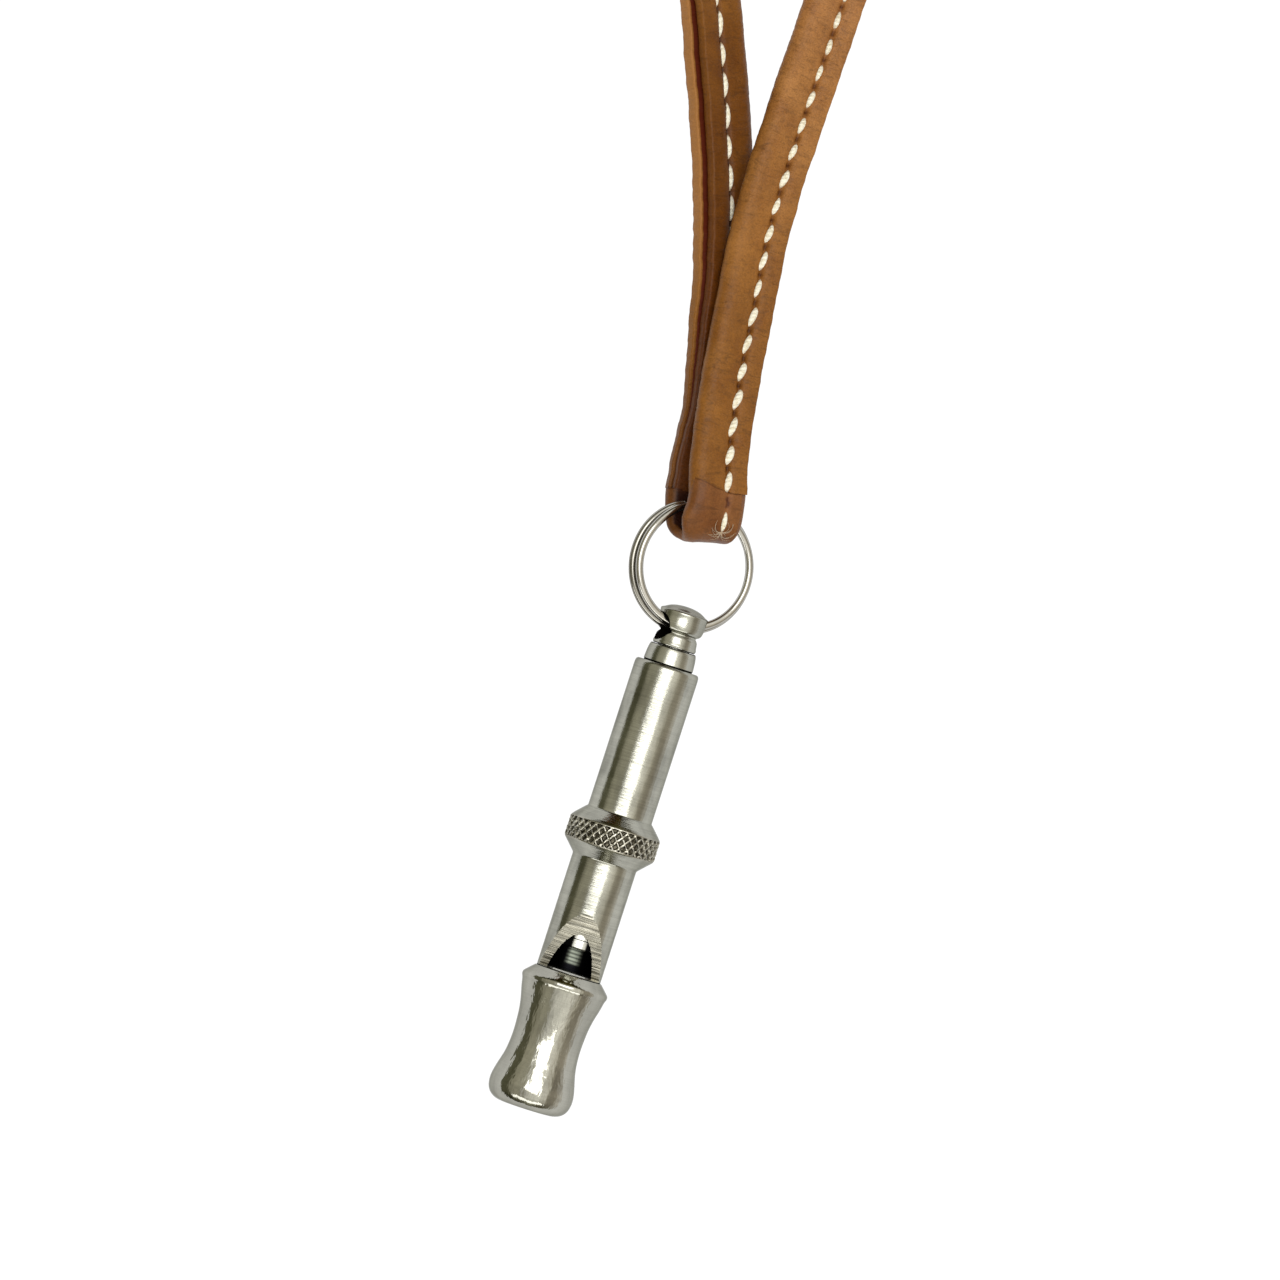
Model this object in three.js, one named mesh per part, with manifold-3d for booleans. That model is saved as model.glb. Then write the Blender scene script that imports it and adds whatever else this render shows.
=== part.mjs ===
// Adjustable training whistle on a stitched leather neck lanyard.
// Millimetres, +Z up. The whistle lies on its side on the surface Z = 0 with its
// axis along Y: the mouth end faces -Y and the tuning head faces +Y.
import * as THREE from 'three';
import { mergeVertices } from 'three/addons/utils/BufferGeometryUtils.js';
import Module from 'manifold-3d';

const wasm = await Module();
wasm.setup();

// ---------------------------------------------------------------- dimensions
// The origin is under the middle of the whistle and ring; these two numbers move the
// mouth end (Y = 0 while modelling) to its place.
const ORIGIN_X = -0.951;
const ORIGIN_Y = 47.445;

const AXIS_Z = 7.05;            // height of the whistle's axis: the collar touches the surface
const SEGMENTS = 44;            // facets round the turned pieces

const BARREL_R = 5.0;           // outer radius of barrel and window tube
const COLLAR_R = 7.05;          // knurled collar
const BORE_R = 3.90;            // bore of barrel and mouthpiece
const BARREL_TOP = 69.6;        // barrel's upper end
const SPIGOT_R = 4.45;          // barrel's lower end, inside the mouthpiece
const SPIGOT_LOW = 16.8;
const JOINT_Y = 21.0;           // barrel shoulder against the mouthpiece

const WINDOW_TOP = 30.4;        // where the inclined cut leaves the surface
const WINDOW_LOW = 21.25;       // its square lower wall
const WINDOW_DEPTH = 3.2;

const PLUG_R = 3.84;            // windway plug
const PLUG_FLAT = 2.90;         // height of its flat over the axis
const PLUG_TOP = 21.3;

const BUSH_R = 3.85;            // end bush
const BUSH_TOP = 72.4;
const BUSH_LOW = 64.6;
const SCREW_HOLE_R = 2.56;

const SCREW_R = 2.50;           // tuning screw, M5 size, 0.8 mm pitch
const SCREW_TIP_R = 1.50;
const PISTON_R = 3.84;
const PISTON_LOW = 25.1;
const PISTON_TOP = 29.2;

const HEAD_TOP = 79.0;
const EYE_Y = 75.37;            // cross-hole through the head
const EYE_R = 2.25;
const EYE_TILT = 25 * Math.PI / 180;

const WIRE_R = 0.60;            // split ring: two turns of round wire
const RING_R = 9.30;
const RING_PITCH = 1.30;

const STRAP_W = 8.8;            // folded leather strap
const STRAP_T = 3.4;
const TAB_T = 1.8;              // leather of the end tab
const TAB_GAP = 3.8;            // room for the ring inside it

const COIL_R = 38.0;            // stored length of the lanyard
const COIL_TOP = 14.6;
const COIL_LOW = 1.0;

// Ring frame: centre, across, along and square to the ring's plane.
const RING_C = new THREE.Vector3(-0.978, 84.911, 6.5);
const RING_E1 = new THREE.Vector3(0.868227, 0.298353, -0.396445).normalize();
const RING_E2 = new THREE.Vector3(-0.306801, 0.950774, 0.043618).normalize();
const RING_N = new THREE.Vector3().crossVectors(RING_E1, RING_E2).normalize();
// End tab frame: the point where the ring passes through it.
const TAB_C = new THREE.Vector3(-1.755, 94.164, 5.985);
const TAB_E1 = new THREE.Vector3(0.895540, 0.197335, -0.398832).normalize();
const TAB_E2 = new THREE.Vector3(-0.214366, 0.976752, 0.001940).normalize();
const TAB_N = new THREE.Vector3().crossVectors(TAB_E1, TAB_E2).normalize();

// Middle line of the two strap lengths, from the ring to the stored coil.
const FRONT_ROUTE = [
  [-0.847, 96.354, 9.107], [-2.118, 100.462, 8.9], [-2.775, 103.718, 8.6], [-4.12, 111.795, 7.6],
  [-5.047, 119.062, 6.9], [-5.768, 125.45, 6.6], [-6.89, 134.545, 6.4], [-7.167, 140.287, 6.4],
  [-7.31, 145.127, 6.25], [-7.23, 150.985, 5.3], [-7.162, 158.1, 4.2], [-6.951, 165.261, 3.2],
  [-6.882, 172.376, 2.7], [-6.376, 179.819, 2.7], [-5.62, 183.846, 2.7]];
const BACK_ROUTE = [
  [-3.499, 95.784, 2.871], [-4.188, 99.794, 2.95], [-4.569, 102.194, 2.9], [-5.592, 109.272, 2.8],
  [-8.609, 121.065, 2.6], [-11.037, 130.054, 2.5], [-13.801, 138.62, 2.5], [-16.892, 147.71, 2.8],
  [-19.229, 153.733, 3.4], [-22.011, 160.401, 4.1], [-24.655, 166.641, 4.8], [-28.239, 173.96, 6.374],
  [-31.447, 179.02, 8.768]];
const COIL_C = [-27.378, 228.81];

// ------------------------------------------------------------------- helpers
const material = (color, roughness, metalness) =>
  new THREE.MeshStandardMaterial({ color, roughness, metalness });
const NICKEL = { barrel: material(0xa9a79a, 0.28, 1), bright: material(0xb4b1a4, 0.2, 1), dark: material(0x86847a, 0.4, 1) };
const STEEL = material(0xb9b7b0, 0.22, 1);
const LEATHER = material(0xa66f42, 0.55, 0);
const LEATHER_DARK = material(0x8a5a30, 0.6, 0);
const THREAD = material(0xf0ead8, 0.8, 0);

function toSolid(geometry) {
  const g = geometry.index ? geometry.clone() : geometry.clone();
  g.deleteAttribute('normal');
  g.deleteAttribute('uv');
  const merged = mergeVertices(g, 1e-4);
  return new wasm.Manifold(new wasm.Mesh({
    numProp: 3,
    vertProperties: Float32Array.from(merged.attributes.position.array),
    triVerts: Uint32Array.from(merged.index.array),
  }));
}

function toGeometry(solid) {
  const mesh = solid.getMesh();
  const g = new THREE.BufferGeometry();
  const position = new Float32Array(mesh.numVert * 3);
  for (let i = 0; i < mesh.numVert; i++) {
    for (let c = 0; c < 3; c++) position[3 * i + c] = mesh.vertProperties[mesh.numProp * i + c];
  }
  g.setAttribute('position', new THREE.BufferAttribute(position, 3));
  g.setIndex(new THREE.BufferAttribute(Uint32Array.from(mesh.triVerts), 1));
  g.computeVertexNormals();
  return g;
}

// A turned piece about the whistle's axis; profile is [radius, y] pairs.
function turned(profile, segments = SEGMENTS) {
  const g = new THREE.LatheGeometry(profile.map(([r, y]) => new THREE.Vector2(r, y)), segments);
  g.translate(0, 0, AXIS_Z);
  return outward(g);
}

// Faces pointing out: a negative volume means the triangles run the other way.
function outward(g) {
  g.deleteAttribute('normal');
  g.deleteAttribute('uv');
  const m = mergeVertices(g, 1e-4);
  const p = m.attributes.position, idx = m.index.array;
  const a = new THREE.Vector3(), b = new THREE.Vector3(), c = new THREE.Vector3();
  let volume = 0;
  const kept = [];
  for (let i = 0; i < idx.length; i += 3) {
    if (idx[i] === idx[i + 1] || idx[i + 1] === idx[i + 2] || idx[i] === idx[i + 2]) continue;
    a.fromBufferAttribute(p, idx[i]); b.fromBufferAttribute(p, idx[i + 1]); c.fromBufferAttribute(p, idx[i + 2]);
    volume += a.dot(b.clone().cross(c));
    kept.push(idx[i], idx[i + 1], idx[i + 2]);
  }
  if (volume < 0) for (let i = 0; i < kept.length; i += 3) [kept[i + 1], kept[i + 2]] = [kept[i + 2], kept[i + 1]];
  m.setIndex(kept);
  m.computeVertexNormals();
  return m;
}

// An outline in (Y, Z) pushed along X, centred on X = 0.
function prismAlongX(points, width) {
  const shape = new THREE.Shape(points.map(([y, z]) => new THREE.Vector2(y, z)));
  const g = new THREE.ExtrudeGeometry(shape, { depth: width, bevelEnabled: false, steps: 1 });
  g.translate(0, 0, -width / 2);
  g.applyMatrix4(new THREE.Matrix4().makeBasis(
    new THREE.Vector3(0, 1, 0), new THREE.Vector3(0, 0, 1), new THREE.Vector3(1, 0, 0)));
  return outward(g);
}

function sweep(shape, points, steps, closed = false) {
  const curve = new THREE.CatmullRomCurve3(points.map((p) => p.isVector3 ? p : new THREE.Vector3(...p)), closed, 'centripetal');
  curve.arcLengthDivisions = 1000;
  return outward(new THREE.ExtrudeGeometry(shape, { steps, extrudePath: curve, bevelEnabled: false, curveSegments: 8 }));
}

function roundSection(radius, sides) {
  const pts = [];
  for (let i = 0; i < sides; i++) {
    const a = (i + 0.5) * 2 * Math.PI / sides;
    pts.push(new THREE.Vector2(radius * Math.cos(a), radius * Math.sin(a)));
  }
  return new THREE.Shape(pts);
}

// Flat strap section: x is its thickness, y its width.
function strapSection(t, w, c) {
  const x = t / 2, y = w / 2;
  return new THREE.Shape([[x, -y + c], [x, y - c], [x - c, y], [-x + c, y], [-x, y - c], [-x, -y + c], [-x + c, -y], [x - c, -y]]
    .map(([a, b]) => new THREE.Vector2(a, b)));
}

const whole = new THREE.Group();
whole.position.set(-ORIGIN_X, -ORIGIN_Y, 0);
function add(name, geometry, mat) {
  const mesh = new THREE.Mesh(geometry, mat);
  mesh.name = name;
  whole.add(mesh);
  return mesh;
}

// -------------------------------------------------------------------- barrel
// Barrel, knurled collar and window tube are one turned body, bored right through.
const barrelProfile = [
  [BORE_R, BARREL_TOP], [BARREL_R - 0.35, BARREL_TOP], [BARREL_R - 0.03, BARREL_TOP - 0.5], [BARREL_R, BARREL_TOP - 1.2],
  [BARREL_R, 47.5], [5.12, 46.9], [5.32, 46.1], [5.62, 45.5], [5.95, 45.1], [6.4, 44.7], [6.78, 44.4],
  [COLLAR_R - 0.08, 44.0], [COLLAR_R, 43.6], [COLLAR_R, 41.5], [COLLAR_R - 0.12, 40.9], [6.68, 40.65], [6.1, 40.25],
  [5.6, 39.8], [5.25, 39.35], [5.06, 38.9], [BARREL_R, 38.4],
  [BARREL_R, JOINT_Y + 0.05], [SPIGOT_R, JOINT_Y + 0.05], [SPIGOT_R, SPIGOT_LOW + 0.2], [SPIGOT_R - 0.2, SPIGOT_LOW],
  [BORE_R, SPIGOT_LOW], [BORE_R, BARREL_TOP]];
const windowSlope = WINDOW_DEPTH / (WINDOW_TOP - WINDOW_LOW);
const windowCut = prismAlongX([
  [WINDOW_LOW, AXIS_Z + BARREL_R - WINDOW_DEPTH],
  [WINDOW_TOP + 3, AXIS_Z + BARREL_R + 3 * windowSlope],
  [WINDOW_LOW, AXIS_Z + BARREL_R + 3 * windowSlope]], 14);
add('barrel', toGeometry(toSolid(turned(barrelProfile)).subtract(toSolid(windowCut))), NICKEL.barrel);

// ---------------------------------------------------------------- mouthpiece
const mouthProfile = [
  [SPIGOT_R + 0.05, JOINT_Y], [5.0, JOINT_Y + 0.0], [5.25, JOINT_Y + 0.2], [5.85, JOINT_Y - 0.3], [6.45, JOINT_Y - 0.8], [6.76, JOINT_Y - 1.3],
  [6.87, 19.1], [6.80, 18.4], [6.62, 17.9], [6.33, 17.3], [6.0, 16.4], [5.73, 15.1], [5.5, 13.8], [5.36, 12.4], [5.28, 11.0],
  [5.30, 9.6], [5.42, 8.2], [5.6, 7.1], [5.85, 6.1], [6.12, 5.1], [6.36, 4.1], [6.5, 3.2], [6.48, 2.4], [6.3, 1.6], [5.9, 0.9],
  [5.3, 0.4], [4.7, 0.1], [4.35, 0.0], [BORE_R, 0.0],
  [BORE_R, SPIGOT_LOW - 0.3], [SPIGOT_R + 0.05, SPIGOT_LOW - 0.3], [SPIGOT_R + 0.05, JOINT_Y]];
add('mouthpiece', turned(mouthProfile), NICKEL.bright);

// -------------------------------------------------------------- windway plug
const plugFlatCut = prismAlongX([[-1, AXIS_Z + PLUG_FLAT], [PLUG_TOP + 1, AXIS_Z + PLUG_FLAT],
  [PLUG_TOP + 1, AXIS_Z + 6], [-1, AXIS_Z + 6]], 12);
add('windway_plug', toGeometry(toSolid(turned([[0, 0], [PLUG_R, 0], [PLUG_R, PLUG_TOP - 0.15], [PLUG_R - 0.15, PLUG_TOP], [0, PLUG_TOP]]))
  .subtract(toSolid(plugFlatCut))), NICKEL.dark);

// ------------------------------------------------------------------ end bush
add('end_bush', turned([
  [SCREW_HOLE_R, BUSH_LOW], [BUSH_R - 0.2, BUSH_LOW], [BUSH_R, BUSH_LOW + 0.3], [BUSH_R, 70.1], [BUSH_R - 0.03, 71.2], [3.74, 72.1],
  [3.55, BUSH_TOP], [SCREW_HOLE_R, BUSH_TOP], [SCREW_HOLE_R, BUSH_LOW]]), NICKEL.barrel);

// -------------------------------------------------------------- tuning screw
// Head with its cross-hole, neck and screwed shank, turned in one piece.
const screwProfile = [
  [0, 26.6], [SCREW_TIP_R - 0.2, 26.6], [SCREW_TIP_R, 26.8], [SCREW_TIP_R, 29.35], [SCREW_R - 0.3, 29.35], [SCREW_R, 29.7], [SCREW_R, 72.46],
  [3.25, 72.46], [3.36, 72.75], [3.22, 73.2], [3.18, 74.2], [2.95, 74.55], [3.3, 74.85], [3.6, 75.3], [3.67, 76.0],
  [3.62, 77.0], [3.7, 77.7], [3.62, 77.95], [3.2, 78.25], [2.4, 78.6], [1.3, 78.88], [0, HEAD_TOP]];
const eyeAxis = new THREE.Vector3(Math.cos(EYE_TILT), 0, -Math.sin(EYE_TILT));
const eye = new THREE.CylinderGeometry(EYE_R, EYE_R, 16, 28);
eye.applyQuaternion(new THREE.Quaternion().setFromUnitVectors(new THREE.Vector3(0, 1, 0), eyeAxis));
eye.translate(0, EYE_Y, AXIS_Z);
add('tuning_screw', toGeometry(toSolid(turned(screwProfile)).subtract(toSolid(eye))), NICKEL.bright);

// -------------------------------------------------------------------- piston
add('piston', turned([
  [0, PISTON_LOW], [PISTON_R - 0.15, PISTON_LOW], [PISTON_R, PISTON_LOW + 0.15], [PISTON_R, PISTON_TOP - 0.15],
  [PISTON_R - 0.15, PISTON_TOP], [SCREW_TIP_R + 0.05, PISTON_TOP], [SCREW_TIP_R + 0.05, 26.5], [0, 26.5]]), NICKEL.dark);

// ---------------------------------------------------------------- split ring
// Two turns of wire, one over the other, climbing one wire width a turn.
const ringPoints = [];
const RING_STEPS = 64;
for (let i = 0; i <= RING_STEPS; i++) {
  const turn = 2 * i / RING_STEPS;                       // 0 to 2 turns
  const a = (200 + 360 * turn * 0.985) * Math.PI / 180;
  const lift = RING_PITCH * (Math.min(Math.max((turn - 0.9) / 0.2, 0), 1) - 0.5);
  const shift = turn < 1 ? -0.22 : 0.22;                 // the lower turn sits a little to the left
  const blend = Math.min(Math.max((turn - 0.9) / 0.2, 0), 1);
  const off = -0.22 + 0.44 * blend;
  ringPoints.push(RING_C.clone()
    .addScaledVector(RING_E1, RING_R * Math.cos(a) + off)
    .addScaledVector(RING_E2, RING_R * Math.sin(a))
    .addScaledVector(RING_N, lift));
}
add('split_ring', sweep(roundSection(WIRE_R, 8), ringPoints, 72), STEEL);

// ------------------------------------------------------------------- end tab
// Leather tab folded round the ring; both strap ends butt against it.
const tabShape = new THREE.Shape();
const inner = TAB_GAP / 2, outer = inner + TAB_T;
const tabLow = -3.75, tabHigh = 1.25;
tabShape.moveTo(tabHigh, outer);
tabShape.lineTo(tabLow, outer);
for (let i = 1; i <= 8; i++) {
  const a = Math.PI / 2 + Math.PI * i / 8;
  tabShape.lineTo(tabLow + TAB_T * 0.95 * Math.cos(a), outer * Math.sin(a));
}
tabShape.lineTo(tabHigh, -outer);
tabShape.lineTo(tabHigh, -inner);
tabShape.lineTo(tabLow + 0.6, -inner);
for (let i = 1; i <= 5; i++) {
  const a = 3 * Math.PI / 2 - Math.PI * i / 6;
  tabShape.lineTo(tabLow + 0.6 + 0.75 * Math.cos(a), inner * Math.sin(a));
}
tabShape.lineTo(tabLow + 0.6, inner);
tabShape.lineTo(tabHigh, inner);
const tab = new THREE.ExtrudeGeometry(tabShape, { depth: STRAP_W, bevelEnabled: false, steps: 1 });
tab.translate(0, 0, -STRAP_W / 2);
tab.applyMatrix4(new THREE.Matrix4().makeBasis(TAB_E2, TAB_N, TAB_E1).setPosition(TAB_C));
add('ring_tab', outward(tab), LEATHER);

// ------------------------------------------------------------------- lanyard
const section = strapSection(STRAP_T, STRAP_W, 0.8);
add('strap_front', sweep(section, FRONT_ROUTE, 34), LEATHER);
add('strap_back', sweep(section, BACK_ROUTE, 34), LEATHER_DARK);

// The stored length: a ring of the coil's outer shape.
const coilIn = COIL_R - STRAP_W / 2 - 0.4, coilOut = COIL_R + STRAP_W / 2 + 0.4;
const coil = new THREE.LatheGeometry([[coilIn, COIL_LOW + 0.8], [coilIn + 0.8, COIL_LOW], [coilOut - 0.8, COIL_LOW], [coilOut, COIL_LOW + 0.8],
  [coilOut, COIL_TOP - 0.8], [coilOut - 0.8, COIL_TOP], [coilIn + 0.8, COIL_TOP], [coilIn, COIL_TOP - 0.8], [coilIn, COIL_LOW + 0.8]]
  .map(([r, y]) => new THREE.Vector2(r, y)), 56);
coil.rotateX(Math.PI / 2);
coil.translate(COIL_C[0], COIL_C[1], 0);
add('lanyard_coil', outward(coil), LEATHER);

// Leather keeper band round the coil, at its far side.
const KEEPER_W = 7.0, KEEPER_T = 0.7, KEEPER_GAP = 0.3;
const kOut = (coilOut - coilIn) / 2 + KEEPER_GAP + KEEPER_T;
const frameShape = new THREE.Shape([[-kOut, 0], [kOut, 0], [kOut, COIL_TOP + KEEPER_GAP + KEEPER_T], [-kOut, COIL_TOP + KEEPER_GAP + KEEPER_T]]
  .map(([a, b]) => new THREE.Vector2(a, b)));
const kIn = kOut - KEEPER_T;
frameShape.holes.push(new THREE.Path([[-kIn, KEEPER_T], [-kIn, COIL_TOP + KEEPER_GAP], [kIn, COIL_TOP + KEEPER_GAP], [kIn, KEEPER_T]]
  .map(([a, b]) => new THREE.Vector2(a, b))));
const keeper = new THREE.ExtrudeGeometry(frameShape, { depth: KEEPER_W, bevelEnabled: false, steps: 1 });
keeper.translate(0, 0, -KEEPER_W / 2);
const kAngle = 107.9 * Math.PI / 180;   // direction from the coil's centre
const kRadial = new THREE.Vector3(Math.cos(kAngle), Math.sin(kAngle), 0);
keeper.applyMatrix4(new THREE.Matrix4().makeBasis(kRadial, new THREE.Vector3(0, 0, 1), new THREE.Vector3(kRadial.y, -kRadial.x, 0))
  .setPosition(new THREE.Vector3(COIL_C[0] + COIL_R * kRadial.x, COIL_C[1] + COIL_R * kRadial.y, 0)));
add('coil_keeper', outward(keeper), LEATHER_DARK);

// Sewing thread: one run on each strap length, lying along its seam.
function seam(route, count, side, lift, from = 0.012) {
  const curve = new THREE.CatmullRomCurve3(route.map((p) => new THREE.Vector3(...p)), false, 'centripetal');
  const pts = [];
  for (let i = 0; i <= count; i++) {
    const u = from + (0.982 - from) * i / count;
    const p = curve.getPointAt(u), t = curve.getTangentAt(u);
    const across = new THREE.Vector3(t.y, -t.x, 0).normalize();
    pts.push(p.addScaledVector(across, side).add(new THREE.Vector3(0, 0, lift)));
  }
  return pts;
}
add('seam_thread_front', sweep(roundSection(0.45, 6), seam(FRONT_ROUTE, 30, 1.3, STRAP_T / 2 + 0.95), 34), THREAD);
add('seam_thread_back', sweep(roundSection(0.45, 6), seam(BACK_ROUTE, 16, -0.4, STRAP_T / 2 + 0.95, 0.6), 18), THREAD);

export default whole;
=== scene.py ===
import math

import bpy
import bmesh
import numpy as np
from mathutils import Matrix, Vector


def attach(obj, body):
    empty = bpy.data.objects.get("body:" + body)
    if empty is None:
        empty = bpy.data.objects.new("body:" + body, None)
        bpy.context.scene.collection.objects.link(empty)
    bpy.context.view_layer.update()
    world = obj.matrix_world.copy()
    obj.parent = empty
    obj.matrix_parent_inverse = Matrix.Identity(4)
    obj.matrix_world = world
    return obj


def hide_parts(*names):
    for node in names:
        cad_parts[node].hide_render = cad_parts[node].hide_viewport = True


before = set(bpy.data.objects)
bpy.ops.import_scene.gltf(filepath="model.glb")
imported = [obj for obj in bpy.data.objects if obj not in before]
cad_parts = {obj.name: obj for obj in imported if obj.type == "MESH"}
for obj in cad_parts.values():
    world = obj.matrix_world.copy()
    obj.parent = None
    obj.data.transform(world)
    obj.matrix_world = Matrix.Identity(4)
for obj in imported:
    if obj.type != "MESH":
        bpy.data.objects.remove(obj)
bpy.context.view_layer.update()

MM = 0.001
# The solids' own coordinates are shifted by this much from the ones they were drawn in.
SHIFT = np.array([0.951, -47.445, 0.0])
AXIS_Z = 7.05
AX = np.array([0.951, 0.0, AXIS_Z])          # a point on the whistle's axis, millimetres, row frame


def rowmm(p):
    """A point in drawing millimetres, in row-frame millimetres."""
    return np.asarray(p, float) + SHIFT


# ------------------------------------------------------------------ camera
UP = np.array([-0.3071, 0.9517, 0.0])        # the picture's up and right, in the row frame
RIGHT = np.array([0.9517, 0.3071, 0.0])
VIEW_MM = 192.0                              # width of the field at the whistle's height
CAM_H = 1.5


def picture(px, py, z=0.0):
    """The row-frame point under a place in the 1280 by 1280 picture, millimetres."""
    q = np.array([px - 689.1, py - 600.0])
    d = np.array([-0.3071, 0.9517]); n = np.array([0.9517, 0.3071])
    return rowmm([0.15 * (q @ n), 0.15 * (533.5 - q @ d), z])


centre = picture(640, 640, AXIS_Z) * MM
cam_data = bpy.data.cameras.new("camera")
cam = bpy.data.objects.new("camera", cam_data)
bpy.context.scene.collection.objects.link(cam)
cam_data.type = "PERSP"
cam_data.sensor_fit = "HORIZONTAL"
cam_data.sensor_width = 36.0
cam_data.lens = 36.0 * CAM_H / (VIEW_MM * MM)
cam_data.clip_start = 0.01
cam_data.clip_end = 20.0
cam.location = (centre[0], centre[1], centre[2] + CAM_H)
basis = Matrix((tuple(RIGHT), tuple(UP), (0.0, 0.0, 1.0))).transposed().to_4x4()
cam.rotation_mode = "QUATERNION"
cam.rotation_quaternion = basis.to_quaternion()
bpy.context.scene.camera = cam


# ------------------------------------------------------------- mesh helpers
def new_object(name, verts, faces, material=None, smooth=True, attr=None):
    """verts in row-frame millimetres."""
    mesh = bpy.data.meshes.new(name)
    mesh.from_pydata([tuple(v) for v in (np.asarray(verts, float) * MM)], [], [tuple(int(i) for i in f) for f in faces])
    mesh.validate()
    if smooth:
        mesh.polygons.foreach_set("use_smooth", [True] * len(mesh.polygons))
    if attr:
        for key, values in attr.items():
            a = mesh.attributes.new(key, "FLOAT", "POINT")
            a.data.foreach_set("value", np.asarray(values, np.float32))
    mesh.update()
    o = bpy.data.objects.new(name, mesh)
    bpy.context.scene.collection.objects.link(o)
    if material is not None:
        mesh.materials.append(material)
    return o


def grid_faces(rows, cols, wrap=True, offset=0):
    faces = []
    for i in range(rows - 1):
        for j in range(cols if wrap else cols - 1):
            a = offset + i * cols + j
            b = offset + i * cols + (j + 1) % cols
            faces.append((a, b, b + cols, a + cols))
    return faces


def catmull(points, per=10):
    """Centripetal Catmull-Rom through the points."""
    pts = [np.asarray(p, float) for p in points]
    ext = [2 * pts[0] - pts[1]] + pts + [2 * pts[-1] - pts[-2]]
    out = []
    for i in range(1, len(ext) - 2):
        p0, p1, p2, p3 = ext[i - 1:i + 3]
        t0 = 0.0
        t1 = t0 + np.linalg.norm(p1 - p0) ** 0.5
        t2 = t1 + np.linalg.norm(p2 - p1) ** 0.5
        t3 = t2 + np.linalg.norm(p3 - p2) ** 0.5
        for j in range(per):
            t = t1 + (t2 - t1) * j / per
            a1 = (t1 - t) / (t1 - t0) * p0 + (t - t0) / (t1 - t0) * p1
            a2 = (t2 - t) / (t2 - t1) * p1 + (t - t1) / (t2 - t1) * p2
            a3 = (t3 - t) / (t3 - t2) * p2 + (t - t2) / (t3 - t2) * p3
            b1 = (t2 - t) / (t2 - t0) * a1 + (t - t0) / (t2 - t0) * a2
            b2 = (t3 - t) / (t3 - t1) * a2 + (t - t1) / (t3 - t1) * a3
            out.append((t2 - t) / (t2 - t1) * b1 + (t - t1) / (t2 - t1) * b2)
    out.append(pts[-1])
    return np.array(out)


def resample(points, steps):
    """The polyline at the given distances along it."""
    seg = np.linalg.norm(np.diff(points, axis=0), axis=1)
    s = np.r_[0, np.cumsum(seg)]
    return np.c_[np.interp(steps, s, points[:, 0]), np.interp(steps, s, points[:, 1]), np.interp(steps, s, points[:, 2])]


def length_of(points):
    return float(np.linalg.norm(np.diff(points, axis=0), axis=1).sum())


def smoothstep(x, a, b):
    t = np.clip((np.asarray(x, float) - a) / (b - a), 0, 1)
    return t * t * (3 - 2 * t)


def noise1(x, seed, scale):
    """Smooth repeatable wander, about -1 to 1."""
    x = np.asarray(x, float) / scale
    v = np.zeros_like(x)
    for k, (f, a) in enumerate(((1.0, 0.55), (2.13, 0.28), (4.31, 0.17))):
        ph = seed * 12.9898 + k * 78.233
        v += a * np.sin(2 * math.pi * f * x + ph) * np.cos(2 * math.pi * 0.37 * f * x + 1.7 * ph)
    return v


# ------------------------------------------------------------ lanyard route
RING_C = rowmm([-0.978, 84.911, 6.5])
RING_E1 = np.array([0.868227, 0.298353, -0.396445]); RING_E1 /= np.linalg.norm(RING_E1)
RING_E2 = np.array([-0.306801, 0.950774, 0.043618]); RING_E2 -= RING_E1 * (RING_E1 @ RING_E2); RING_E2 /= np.linalg.norm(RING_E2)
RING_N = np.cross(RING_E1, RING_E2)
TAB_C = rowmm([-1.755, 94.164, 5.985])
TAB_E1 = np.array([0.895540, 0.197335, -0.398832]); TAB_E1 /= np.linalg.norm(TAB_E1)
TAB_E2 = np.array([-0.214366, 0.976752, 0.001940]); TAB_E2 -= TAB_E1 * (TAB_E1 @ TAB_E2); TAB_E2 /= np.linalg.norm(TAB_E2)
TAB_N = np.cross(TAB_E1, TAB_E2)

FRONT = [
    [-0.847, 96.354, 9.107], [-2.118, 100.462, 8.9], [-2.775, 103.718, 8.6], [-4.12, 111.795, 7.6],
    [-5.047, 119.062, 6.9], [-5.768, 125.45, 6.6], [-6.89, 134.545, 6.4], [-7.167, 140.287, 6.4],
    [-7.31, 145.127, 6.25], [-7.23, 150.985, 5.3], [-7.162, 158.1, 4.2], [-6.951, 165.261, 3.2],
    [-6.882, 172.376, 2.7], [-6.376, 179.819, 2.7], [-5, 187.151, 2.7], [-2.77, 194.271, 2.7],
    [0.272, 201.083, 2.7]]
BACK = [
    [-3.499, 95.784, 2.871], [-4.10, 99.794, 2.95], [-4.30, 102.194, 2.95], [-5.00, 109.272, 3],
    [-7.60, 121.065, 3.1], [-9.70, 130.054, 3.2], [-12.35, 138.62, 3.4], [-15.80, 147.71, 3.9],
    [-18.15, 153.733, 4.2], [-20.95, 160.401, 4.5], [-23.60, 166.641, 5], [-27.50, 173.96, 6.374],
    [-32.602, 180.842, 9.63], [-37.697, 187.203, 12.367], [-43.449, 192.976, 12.854]]
COIL_C = np.array([-27.378, 228.81])
COIL_R = 38.0
TURN0, TURN1 = math.radians(-52), math.radians(936)
TURNS = (TURN1 - TURN0) / (2 * math.pi)


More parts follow.
